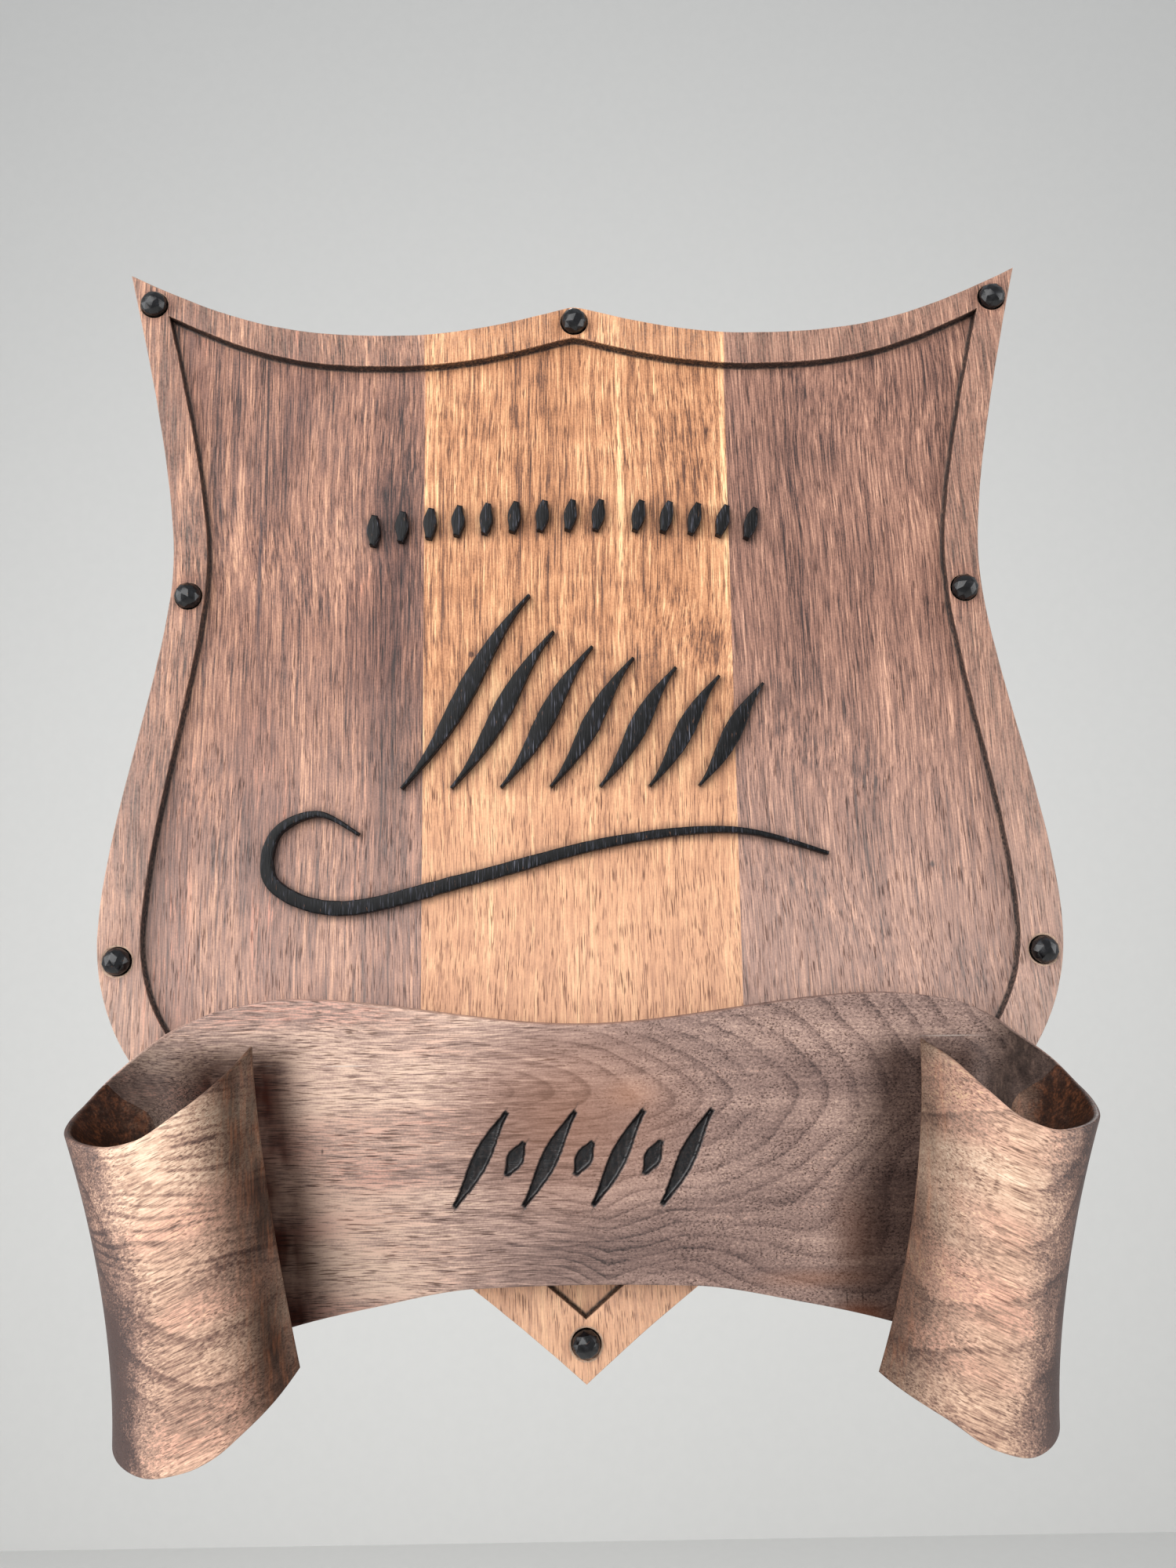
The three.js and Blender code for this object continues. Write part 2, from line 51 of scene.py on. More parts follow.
STUD_RADIUS, STUD_COLLAR, STUD_DOME = 6.7, 0.8, 5.2
PANEL_THICKNESS, PANEL_TOP, PANEL_BOTTOM = 12.0, -110.0, -223.5
GLUE_LEVEL = BOARD_THICKNESS + 28.0
ROLL_START, ROLL_END, ROLL_DEPTH = -90.0, 140.0, 92.0
ROLL_OUTER_X, ROLL_FLARE, ROLL_FLARE_POWER = 190.5, 25.5, 1.85
ROLL_LIP_THICKNESS, ROLL_CORE_THICKNESS, ROLL_MOUTH_LENGTH = 3.0, 15.0, 22.0


def place(x, height, forward):
    return (x / 1000, -forward / 1000, height / 1000)


def places(points):
    p = np.asarray(points, float)
    return np.stack([p[:, 0], -p[:, 2], p[:, 1]], 1) / 1000


# Camera: the photograph's viewing angle, in the part's frame

FOCAL_PX, IMAGE_HEIGHT_PX, SENSOR_MM = 1502.0, 2000, 36
tilt, yaw, roll = (math.radians(a) for a in (-8.27246725, -0.36900986, -0.69934137))
turn_x = Matrix.Rotation(tilt, 3, "X")
turn_y = Matrix.Rotation(yaw, 3, "Y")
turn_z = Matrix.Rotation(roll, 3, "Z")
view_rows = turn_z @ turn_y @ turn_x


def direction(row):
    q = view_rows[row]
    return Vector((q[0], q[2], -q[1]))


camera_data = bpy.data.cameras.new("camera")
camera_data.sensor_fit = "VERTICAL"
camera_data.sensor_height = SENSOR_MM
camera_data.sensor_width = SENSOR_MM * 0.75
camera_data.lens = FOCAL_PX / IMAGE_HEIGHT_PX * SENSOR_MM
camera_data.clip_start = 0.02
camera = bpy.data.objects.new("camera", camera_data)
scene.collection.objects.link(camera)
right, up, ahead = direction(0), -direction(1), direction(2)
axes = Matrix((right, up, -ahead)).transposed().to_4x4()
camera.matrix_world = Matrix.Translation((0.00043, -0.5806, -0.0786)) @ axes
scene.camera = camera


# Shader helpers


class Shade:
    """A node material built up with short calls. Vectors are in millimetres."""

    def __init__(self, name):
        self.material = bpy.data.materials.new(name)
        self.material.use_nodes = True
        self.tree = self.material.node_tree
        self.tree.nodes.clear()
        self.surface = self.new("BsdfPrincipled")
        self.link(self.surface.outputs[0], self.new("OutputMaterial").inputs[0])
        coords = self.new("TexCoord")
        self.position = self.vector("SCALE", coords.outputs["Object"], scale=1000)

    def new(self, kind):
        return self.tree.nodes.new("ShaderNode" + kind)

    def link(self, a, b):
        self.tree.links.new(a, b)

    def put(self, value, socket):
        if hasattr(value, "is_output"):
            self.link(value, socket)
        else:
            socket.default_value = value

    def give(self, name, value):
        """Sets one input of the surface shader."""
        self.put(value, self.surface.inputs[name])

    def math(self, operation, a, b=None, clamp=False):
        n = self.new("Math")
        n.operation = operation
        n.use_clamp = clamp
        self.put(a, n.inputs[0])
        if b is not None:
            self.put(b, n.inputs[1])
        return n.outputs[0]

    def add(self, a, b):
        return self.math("ADD", a, b)

    def sub(self, a, b):
        return self.math("SUBTRACT", a, b)

    def mul(self, a, b):
        return self.math("MULTIPLY", a, b)

    def swing(self, value, reach):
        """A value of 0 to 1 as a swing to either side of 0."""
        return self.mul(self.sub(value, 0.5), reach)

    def blend(self, share, a, b):
        """Between the numbers a and b."""
        return self.add(a, self.mul(share, self.sub(b, a)))

    def vector(self, operation, a, b=None, scale=None):
        n = self.new("VectorMath")
        n.operation = operation
        self.put(a, n.inputs[0])
        if b is not None:
            self.put(b, n.inputs[1])
        if scale is not None:
            self.put(scale, n.inputs["Scale"])
        return n.outputs["Value" if operation == "LENGTH" else "Vector"]

    def mapped(self, vector, rotation=(0, 0, 0), scale=(1, 1, 1), shift=(0, 0, 0)):
        n = self.new("Mapping")
        n.inputs["Rotation"].default_value = [math.radians(a) for a in rotation]
        n.inputs["Scale"].default_value = scale
        n.inputs["Location"].default_value = shift
        self.link(vector, n.inputs["Vector"])
        return n.outputs[0]

    def noise(self, vector, size, detail=2.0, rough=0.5, shift=(0, 0, 0), warp=0.0):
        """Noise of 0 to 1 in lumps of about size millimetres, one size or one for each axis."""
        sizes = size if isinstance(size, tuple) else (size,) * 3
        n = self.new("TexNoise")
        n.inputs["Scale"].default_value = 1
        n.inputs["Detail"].default_value = detail
        n.inputs["Roughness"].default_value = rough
        n.inputs["Distortion"].default_value = warp
        scaled = self.mapped(vector, scale=[1 / k for k in sizes], shift=shift)
        self.link(scaled, n.inputs["Vector"])
        return n.outputs[0]

    def span(self, value, low, high, to_low=0.0, to_high=1.0, smooth=True):
        n = self.new("MapRange")
        n.interpolation_type = "SMOOTHSTEP" if smooth else "LINEAR"
        self.put(value, n.inputs["Value"])
        for socket, v in zip(n.inputs[1:5], (low, high, to_low, to_high)):
            socket.default_value = v
        return n.outputs[0]

    def ramp(self, value, stops):
        n = self.new("ValToRGB")
        elements = n.color_ramp.elements
        while len(elements) > 1:
            elements.remove(elements[-1])
        elements[0].position, elements[0].color = stops[0][0], rgb(stops[0][1])
        for at, colour in stops[1:]:
            elements.new(at).color = rgb(colour)
        self.link(value, n.inputs[0])
        return n.outputs[0]

    def mix(self, share, a, b, blend="MIX"):
        n = self.new("Mix")
        n.data_type = "RGBA"
        n.blend_type = blend
        self.put(share, n.inputs[0])
        for socket, colour in ((n.inputs[6], a), (n.inputs[7], b)):
            self.put(rgb(colour) if isinstance(colour, tuple) else colour, socket)
        return n.outputs[2]

    def axis(self, k):
        """One coordinate of the place, 0 to 2."""
        n = self.new("SeparateXYZ")
        self.link(self.position, n.inputs[0])
        return n.outputs[k]

    def join(self, x, y, z):
        n = self.new("CombineXYZ")
        for socket, value in zip(n.inputs, (x, y, z)):
            self.put(value, socket)
        return n.outputs[0]

    def spot(self, x, z, wide, high):
        """1 at a place on the face, falling to 0 at an ellipse round it."""
        scaled = self.mapped(
            self.position, scale=(1 / wide, 0, 1 / high), shift=(-x / wide, 0, -z / high)
        )
        return self.span(self.vector("LENGTH", scaled), 0.0, 1.0, 1.0, 0.0)

    def attribute(self, name):
        n = self.new("Attribute")
        n.attribute_name = name
        return n.outputs["Fac"]

    def bump(self, height, distance):
        n = self.new("Bump")
        n.inputs["Strength"].default_value = 1
        n.inputs["Distance"].default_value = distance / 1000
        self.link(height, n.inputs["Height"])
        self.give("Normal", n.outputs[0])


def rgb(colour):
    """Linear colour from 0-255 sRGB values."""
    s = [c / 255 for c in colour]
    return [c / 12.92 if c <= 0.04045 else ((c + 0.055) / 1.055) ** 2.4 for c in s] + [1]


# Walnut: a solid wood texture cut by whatever surface it is on


def walnut(
    name, grain, colours, seed, broad, medium, fine, lines, zones, turn=(0, 0, 0), mottle=0.35,
    glints=0.14, blotch=0.3, pores=0.8, rings=None, ring_strength=0.0, ring_fade=None,
    figure=None, dots=None, cool=None, sky_sheen=0.0,
):
    """grain is the axis of the fibres; broad, medium and fine are (width, length, strength)
    of the streaks; zones(s, tone) changes the tone by place; rings(s) gives the growth rings
    as a distance counted in rings, and ring_fade is where along X they fade in; figure is
    the strength and pitch of the curl across the fibres; dots(s) is the share of fibres cut
    short; cool is the strength and colour of a tint in long patches. The last argument is
    the strength of a painted sheen: paler, greyer colour low on the part, standing in for
    the reflection of the sky."""
    s = Shade(name)
    at = s.mapped(s.position, rotation=turn) if any(turn) else s.position
    drift = s.swing(s.noise(at, 140, detail=1, shift=(seed, 3.1, 7.7)), 12)
    wavy = s.vector("ADD", at, s.join(0, drift, drift) if grain == "X" else s.join(drift, drift, 0))

    def along(length, width):
        return (length, width, width) if grain == "X" else (width, width, length)

    def streak(width, length, detail, rough, k):
        shift = (seed + k, k * 1.7, seed - k)
        return s.noise(wavy, along(length, width), detail=detail, rough=rough, shift=shift)

    broad_n = streak(*broad[:2], 1, 0.5, 1.0)
    medium_n = streak(*medium[:2], 2, 0.55, 2.0)
    fine_n = streak(*fine[:2], 2, 0.6, 3.0)
    pore = s.noise(wavy, along(9, 0.45), detail=1, rough=0.4, shift=(seed, 11, 3))
    if dots:
        share = dots(s)
        short = s.noise(wavy, along(1.3, 0.85), rough=0.6, shift=(seed, 2, 13))
        fine_n = s.blend(share, fine_n, short)
        short = s.noise(wavy, along(1.1, 0.6), detail=1, shift=(seed, 1, 3))
        pore = s.blend(share, pore, short)
    blotches = s.noise(at, (55, 55, 75), shift=(seed + 9, 0, 4))
    speck = s.noise(s.position, 1.0, detail=1, shift=(seed, 6, 2))
    tone = 0.5
    swings = [(broad_n, broad[2]), (medium_n, medium[2]), (fine_n, fine[2])]
    for value, strength in (*swings, (speck, mottle), (blotches, blotch)):
        tone = s.add(tone, s.swing(value, strength))
    dark_line = s.span(streak(1.1, 150, 2, 0.5, 5.0), 0.58, 0.68)
    tone = s.sub(tone, s.mul(dark_line, lines))
    glint = s.span(streak(1.8, 50, 2, 0.5, 6.0), 0.6, 0.72)
    tone = s.add(tone, s.mul(glint, glints))
    if rings:
        wave = s.math("FRACT", s.add(rings(s), s.mul(fine_n, 0.05)))
        ring = s.mul(s.math("POWER", wave, 4.0), s.span(wave, 0.88, 1.0, 1.0, 0.0))
        vary = s.noise(at, 30, detail=1, shift=(1, seed, 6))
        ring = s.mul(ring, s.span(vary, 0.3, 0.6, 0.45, 1.2))
        if ring_fade:
            ring = s.mul(ring, s.span(s.axis(0), *ring_fade))
        tone = s.sub(tone, s.mul(ring, ring_strength))
    if figure:
        strength, pitch = figure
        size = (26, 30, pitch) if grain == "X" else (38, 30, pitch)
        curl = s.noise(s.position, size, shift=(seed, seed, 5), warp=0.5)
        tone = s.add(tone, s.swing(curl, strength))
    tone = s.math("ADD", zones(s, tone), 0.0, clamp=True)
    colour = s.ramp(tone, list(zip((0.08, 0.34, 0.6, 0.92), colours)))
    if cool:
        strength, tint = cool
        where = s.noise(wavy, along(150, 28), detail=1, shift=(7, seed, 2))
        share = s.span(where, 0.42, 0.66, 0.0, strength)
        colour = s.mix(share, colour, s.mix(1.0, colour, tint, "OVERLAY"))
    # Painted sheen: paler, greyer colour low on the part, standing in for the reflection of the sky.
    if sky_sheen:
        colour = s.mix(s.span(s.axis(2), 110, -150, 0.0, sky_sheen), colour, (214, 192, 182))

    density = s.noise(wavy, along(14, 7), detail=1, shift=(5, seed, 1))
    s.pore = s.mul(s.span(pore, 0.55, 0.67), s.span(density, 0.3, 0.6, 0.4, 1.0))
    shadow = s.mix(1.0, colour, (112, 86, 76), "MULTIPLY")
    s.colour = s.mix(s.mul(s.pore, pores), colour, shadow)
    s.fine, s.medium, s.dull = fine_n, medium_n, None
    s.give("IOR", 1.45)
    return s


def finish_wood(s, rough=(0.5, 0.72), depth=0.16, gloss=1.0):
    """Roughness and bump from the fibres, then the colour; gloss scales the burnt places."""
    grainy = s.add(s.mul(s.fine, 0.6), s.mul(s.medium, 0.4))
    worn = s.noise(s.position, 25, detail=3, shift=(2, 8, 5))
    matt = s.span(s.add(s.mul(grainy, 0.6), s.mul(worn, 0.4)), 0.3, 0.7, *rough)
    height = s.sub(grainy, s.mul(s.pore, 0.55))
    if gloss < 1:
        share = s.span(s.attribute("burnt"), 0.0, 1.0, 1.0, gloss)
        matt, height = s.mul(matt, share), s.mul(height, share)
    s.give("Roughness", matt)
    s.bump(height, depth)
    if s.dull:
        s.give("Specular IOR Level", s.span(s.dull, 0.0, 1.0, 0.5, 0.1))
    s.give("Base Color", s.colour)
    return s.material


def scribed(s, burnt_and_shade_colour=(22, 15, 13), least=0.7):
    """Raw bright wood on freshly cut edges; painted shade beside the raised strokes, in the step and in
    the stud holes; the real black of the banner's cut strokes.
    """
    raw = s.noise(s.position, (1.1, 1.1, 1.6), shift=(4, 4, 4))
    bright = s.mul(s.attribute("raw"), s.span(raw, 0.35, 0.6, 0.25, 0.95))
    s.colour = s.mix(bright, s.colour, (206, 176, 152))
    # Dark wood: painted shade on the boards, the real black of the cut strokes on the banner.
    burnt = s.mul(s.attribute("burnt"), s.span(raw, 0.25, 0.65, least, 1.0))
    s.colour = s.mix(burnt, s.colour, burnt_and_shade_colour)


def spots(s, tone, marks):
    """Lightens or darkens places on the face: (x, z, half width, half height, change)."""
    for *place_and_size, change in marks:
        tone = s.add(tone, s.mul(s.spot(*place_and_size), change))
    return tone


def stain(s, x, z, wide, high, colour, strength):
    s.colour = s.mix(s.mul(s.spot(x, z, wide, high), strength), s.colour, colour)


def side_zones(seam, sign, marks):
    """A side board: darkest beside its seam; darker at the top and paler low down, which is painted
    light.
    """

    def zones(s, tone):
        to_seam = s.mul(s.sub(s.axis(0), seam), sign)
        tone = s.sub(tone, s.span(to_seam, 0, 46, 0.05, 0.0))
        # Painted light: darker at the top and paler low down, as the light falls on the board.
        tone = s.add(tone, s.span(s.axis(2), 110, -110, -0.03, 0.05))
        return spots(s, tone, marks)

    return zones


LEFT_MARKS = [(-158, 104, 2.2, 70, -0.2), (-169, 148, 3.4, 64, 0.32), (-165, 205, 2.8, 34, 0.3)]
LEFT_MARKS += [(-140, 150, 2.4, 60, 0.12), (-118, 120, 5, 90, 0.1), (-108, 160, 3, 60, -0.12)]
LEFT_MARKS += [(-96, 130, 12, 90, -0.02), (-90, 20, 10, 60, -0.03), (-186, -60, 5, 60, 0.14)]
LEFT_MARKS += [(-150, -40, 3, 50, 0.12), (-128, -60, 2.4, 70, -0.14), (-205, -100, 8, 30, 0.1)]
CENTER_MARKS = [(-52.6, 68.8, 1.9, 2.2, -0.75), (-52.6, 68.8, 6, 9, -0.08), (22, 160, 2.8, 120, 0.34)]
CENTER_MARKS += [(74.6, 150, 2.6, 130, 0.55), (69, 150, 4, 90, 0.1), (-72, 150, 5, 110, 0.14)]
CENTER_MARKS += [(5, 20, 2, 110, 0.16), (-30, 190, 2.5, 40, -0.12), (50, 185, 3, 40, -0.1)]
CENTER_MARKS += [(40, 120, 1.6, 70, -0.12), (-15, 100, 1.4, 60, -0.1)]
RIGHT_MARKS = [(169.2, -37.3, 1.7, 2.4, -0.7), (169.2, -37.3, 5, 8, -0.08), (146, 115, 4.5, 90, -0.17)]
RIGHT_MARKS += [(172, 125, 13, 34, 0.15), (87, 150, 5, 70, -0.08), (93, 120, 1.6, 80, 0.16)]
RIGHT_MARKS += [(120, 60, 5, 80, 0.06), (186, -60, 4, 70, 0.08), (134, -20, 2, 60, -0.12)]
RIGHT_MARKS += [(160, -90, 12, 30, 0.08)]


def center_zones(s, tone):
    """Strong and curly at the top, calm and straight low down; darker at the top and paler low down,
    which is painted light.
    """
    z = s.axis(2)
    tone = s.add(s.swing(tone, s.span(z, 90, -70, 1.0, 0.55)), 0.5)
    # Painted light: darker at the top and paler low down, as the light falls on the board.
    tone = s.add(tone, s.span(z, 210, -60, -0.1, 0.06))
    return spots(s, tone, CENTER_MARKS)


board_left = walnut(
    "walnut_board_left", "Z", ((54, 36, 33), (120, 84, 71), (164, 119, 98), (214, 164, 133)),
    seed=3.7, broad=(13, 320, 0.5), medium=(1.9, 140, 0.95), fine=(0.7, 22, 1.4), lines=0.2,
    figure=(0.12, 9), cool=(0.5, (112, 100, 112)), sky_sheen=0.26,
    zones=side_zones(-SEAM, -1, LEFT_MARKS),
)
board_center = walnut(
    "walnut_board_center", "Z", ((102, 65, 46), (176, 120, 82), (214, 156, 113), (250, 203, 152)),
    seed=11.3, broad=(18, 300, 0.6), medium=(2.0, 120, 1.0), fine=(0.7, 22, 1.35), lines=0.18,
    figure=(0.34, 10), sky_sheen=0.2, zones=center_zones,
)
board_right = walnut(
    "walnut_board_right", "Z", ((54, 35, 32), (120, 84, 71), (160, 117, 98), (212, 163, 136)),
    seed=23.9, broad=(13, 300, 0.42), medium=(1.9, 120, 0.66), fine=(0.7, 22, 1.4), lines=0.2,
    turn=(0, 2.5, 0), blotch=0.4, sky_sheen=0.3, zones=side_zones(SEAM, 1, RIGHT_MARKS),
)
stain(board_left, -158, 104, 1.7, 62, (44, 46, 56), 0.7)


def banner_rings(s):
    """Chevrons that point right about one line and run out level to the left."""
    x, z = s.axis(0), s.axis(2)
    bend = s.swing(s.noise(s.position, (75, 75, 45), detail=1, shift=(4, 4, 1)), 46)
    off = s.sub(s.add(z, 140), s.mul(bend, 0.3))
    off = s.sub(s.vector("LENGTH", s.join(off, 9, 0)), 9)
    far = s.span(x, 40, 130, 1.75, 0.55, smooth=False)
    left = s.span(x, 10, -120, 0.0, 4.5, smooth=False)
    reach = s.mul(off, s.add(far, left))
    curve = s.mul(s.mul(off, off), s.span(x, 20, 110, 0.012, 0.003))
    return s.math("DIVIDE", s.add(s.add(x, bend), s.add(reach, curve)), 15.5)


BANNER_MARKS = [(25, -139, 13, 9, 0.08), (60, -196, 34, 3, 0.1), (-30, -130, 30, 9, 0.05)]
BANNER_MARKS += [(20, -212, 80, 34, -0.12), (-22, -150, 62, 55, -0.13), (112, -180, 30, 50, 0.08)]
BANNER_MARKS += [(75, -165, 45, 50, 0.05)]


def banner_zones(s, tone):
    """Pale and strongly grained at its left end, calmer on the right."""
    x, z = s.axis(0), s.axis(2)
    tone = s.add(s.swing(tone, s.span(x, -70, 40, 1.0, 0.72)), 0.5)
    tone = s.add(tone, s.span(x, -15, -105, 0.02, 0.31))
    tone = s.add(tone, s.mul(s.span(z, -115, -205, -0.07, 0.08), s.span(x, -50, -100)))
    return spots(s, tone, BANNER_MARKS)


def banner_dots(s):
    return s.span(s.axis(0), -40, 55)


banner_wood = walnut(
    "walnut_banner", "X", ((68, 53, 49), (126, 101, 92), (168, 139, 126), (218, 187, 166)),
    seed=31.1, broad=(10, 200, 0.4), medium=(1.8, 60, 0.4), fine=(0.65, 11, 1.3), lines=0.08,
    glints=0.06, dots=banner_dots, rings=banner_rings, ring_strength=0.42, ring_fade=(-60, 0),
    cool=(0.5, (124, 118, 122)), zones=banner_zones,
)
for mark in (
    (-145, -126.6, 5.5, 0.55, (226, 214, 204), 0.8),
    (-107.5, -127.1, 16, 0.5, (220, 204, 192), 0.65),
    (168, -117.0, 20, 0.5, (214, 200, 188), 0.6),
    (115.8, -230.5, 0.5, 6.2, (30, 22, 20), 0.9),
    (122.8, -230.0, 0.5, 5.6, (34, 25, 22), 0.8),
    (-117.7, -164.5, 0.9, 2.0, (52, 36, 32), 0.8),
    (122, -238, 20, 9, (150, 84, 46), 0.75),
    (22, -141, 18, 11, (180, 128, 96), 0.3),
    (-5, -152, 80, 58, (156, 108, 82), 0.42),
    # Painted shade beside the right roll's lip, dark and warm.
    (122, -205, 18, 36, (104, 60, 36), 0.5),
    (104, -222, 40, 6, (140, 92, 64), 0.4),
):
    stain(banner_wood, *mark)


RIPPLE_PITCH, ROLL_RING_PITCH = 4.2, 21


def scroll_wood(name, seed, side, edge, gold, rippled):
    """edge is the width and strength of the darker outer edge, painted shade where the roll turns
    away from the light; gold the extra lightness of the top and of the foot, rippled the strength of the
    fine ripples near the top."""

    def rings(s):
        across = s.add(s.mul(s.axis(0), side), -158)
        sag = s.mul(s.mul(across, across), 0.012)
        bend = s.swing(s.noise(s.position, (60, 60, 45), detail=1, shift=(seed, 2, 2)), 50)
        tipped = s.add(s.axis(2), s.mul(across, -0.12))
        return s.math("DIVIDE", s.add(s.sub(tipped, sag), bend), ROLL_RING_PITCH)

    def zones(s, tone):
        """Ripples near the top, a lighter middle and a darker outer edge, which is painted shade."""
        x, z = s.axis(0), s.axis(2)
        bend = s.swing(s.noise(s.position, (40, 40, 18), detail=1, shift=(seed, 1, 6)), 12)
        wave = s.add(s.add(z, s.mul(x, side * 0.08)), bend)
        wave = s.math("SINE", s.mul(wave, 2 * math.pi / RIPPLE_PITCH))
        ripple = s.math("POWER", s.span(wave, -0.3, 1.0), 2.0)
        patchy = s.noise(s.position, (34, 30, 14), detail=1, shift=(seed, 4, 9))
        size = s.mul(s.span(z, -205, -185, 0.1, 1.0), s.span(patchy, 0.36, 0.6))
        tone = s.sub(tone, s.mul(ripple, s.mul(size, rippled)))
        tone = s.add(tone, s.span(z, -190, -250, *gold))
        share = s.span(z, -268, -150, 0.0, 1.0, smooth=False)
        flare = s.mul(s.math("POWER", share, ROLL_FLARE_POWER), ROLL_FLARE)
        inwards = s.sub(s.add(flare, ROLL_OUTER_X), s.mul(x, side))
        wander = s.noise(s.position, (20, 20, 50), shift=(seed, 8, 2))
        inwards = s.add(inwards, s.swing(wander, 26))
        # Painted shade: darker towards the roll's outer edge, where its face turns away from the light.
        width, strength = edge
        return s.sub(tone, s.span(inwards, 7, width, strength, 0.0))

    return walnut(
        name, "X", ((74, 52, 46), (138, 106, 91), (202, 166, 141), (242, 212, 184)),
        seed=seed, broad=(18, 120, 0.36), medium=(2.0, 26, 0.32), fine=(0.7, 8, 0.95), lines=0.08,
        turn=(0, -26 * side, 0), mottle=0.25, glints=0.04, blotch=0.42, pores=0.65,
        rings=rings, ring_strength=0.26, figure=(0.13, 5), cool=(0.4, (118, 108, 112)), zones=zones,
    )


scroll_left_wood = scroll_wood("walnut_scroll_left", 41.7, -1, (34, 0.56), (0.17, 0.04), 0.26)
scroll_right_wood = scroll_wood("walnut_scroll_right", 57.3, 1, (34, 0.6), (0.18, 0.03), 0.07)


def end_grain_and_shade(s, stops):
    """Dark end grain towards the lips and inside the rolls, streaked along the height; the darkening is
    partly end grain and partly painted shade, on the flank turned away from the light and in each roll's
    hollow.
    """
    streaks = s.noise(s.position, (3.2, 3.2, 60), detail=3, rough=0.6, shift=(8, 2, 1))
    fibres = s.noise(s.position, (0.9, 0.9, 14), shift=(1, 5, 1))
    tone = s.add(s.mul(streaks, 0.6), s.mul(fibres, 0.4))
    uneven = s.noise(s.position, (22, 22, 60), shift=(3, 3, 8))
    s.dull = s.mul(s.attribute("endgrain"), s.span(uneven, 0.25, 0.6, 0.8, 1.0))
    s.colour = s.mix(s.dull, s.colour, s.ramp(tone, list(zip((0.32, 0.5, 0.7), stops))))


def shaded(s):
    """Painted shade in the hollow behind each roll: the banner darkened and warmed beside each lip and
    deep in each mouth.
    """
    uneven = s.noise(s.position, (16, 16, 30), detail=3, shift=(3, 9, 8))
    share = s.mul(s.attribute("shade"), s.span(uneven, 0.25, 0.6, 0.85, 1.0))
    # Painted shade: the colour multiplied by a dark warm brown.
    s.colour = s.mix(share, s.colour, s.mix(1.0, s.colour, (50, 23, 12), "MULTIPLY"))
    s.dull = s.math("MAXIMUM", s.dull, share)


# Dark colours for the rolls' flanks and hollows and the banner's mouths: end grain with painted shade.
for wood in (scroll_left_wood, scroll_right_wood):
    end_grain_and_shade(wood, ((16, 8, 5), (40, 22, 13), (92, 54, 33)))
end_grain_and_shade(banner_wood, ((22, 16, 14), (44, 34, 30), (80, 64, 56)))
shaded(banner_wood)
for wood in (board_left, board_center, board_right):
    scribed(wood)
scribed(banner_wood, burnt_and_shade_colour=(10, 10, 13), least=0.94)
wood_materials = {
    "left": finish_wood(board_left),
    "center": finish_wood(board_center),
    "right": finish_wood(board_right),
    "banner": finish_wood(banner_wood, rough=(0.55, 0.78), gloss=0.5),
    "scroll_left": finish_wood(scroll_left_wood, rough=(0.4, 0.6), depth=0.1),
    "scroll_right": finish_wood(scroll_right_wood, rough=(0.4, 0.6), depth=0.1),
}


def blackened(name):
    """Burnt wood, with the fibres standing out as paler lines."""
    s = Shade(name)
    fibre = s.noise(s.position, (0.7, 0.7, 10), rough=0.6)
    patch = s.noise(s.position, (8, 8, 14))
    fleck = s.noise(s.position, (0.8, 0.8, 4), shift=(6, 1, 2))
    tone = s.add(s.mul(fibre, 0.8), s.mul(patch, 0.2))
    stops = [(0.46, (4, 4, 5)), (0.56, (12, 12, 14)), (0.64, (58, 58, 66)), (0.74, (112, 112, 120))]
    s.give("Base Color", s.mix(s.span(fleck, 0.68, 0.76, 0, 0.7), s.ramp(tone, stops), (96, 66, 48)))
    s.give("Roughness", s.span(tone, 0.3, 0.7, 0.34, 0.55))
    s.give("Specular IOR Level", 0.2)
    s.bump(fibre, 0.2)
    return s.material


def glossy_black(name):
    """Polished black studs, a little cloudy and flecked with bare wood."""
    s = Shade(name)
    cloud = s.noise(s.position, 3.2, detail=3, rough=0.6)
    fleck = s.noise(s.position, 1.3, shift=(3, 9, 1))
    stops = [(0.3, (5, 5, 6)), (0.6, (12, 12, 15)), (0.8, (34, 36, 42))]
    s.give("Base Color", s.mix(s.span(fleck, 0.68, 0.76, 0, 0.7), s.ramp(cloud, stops), (84, 54, 38)))
    s.give("Roughness", s.span(cloud, 0.3, 0.7, 0.14, 0.3))
    s.give("Specular IOR Level", 0.45)
    s.bump(cloud, 0.12)
    return s.material


stroke_material = blackened("blackened_strokes")
stud_material = glossy_black("blackened_studs")


# Mesh helpers


def object_from(name, bm, *materials, sharp=32):
    bmesh.ops.recalc_face_normals(bm, faces=bm.faces)
    mesh = bpy.data.meshes.new(name)
    bm.to_mesh(mesh)
    bm.free()
    mesh.shade_smooth()
    mesh.set_sharp_from_angle(angle=math.radians(sharp))
    for material in materials:
        mesh.materials.append(material)
    ob = bpy.data.objects.new(name, mesh)
    scene.collection.objects.link(ob)
    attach(ob, "root")
    return ob


def add_layers(mesh, **layers):
    """Values at the points, which the wood materials read."""
    for name, values in layers.items():
        mesh.attributes.new(name, "FLOAT", "POINT").data.foreach_set("value", values)


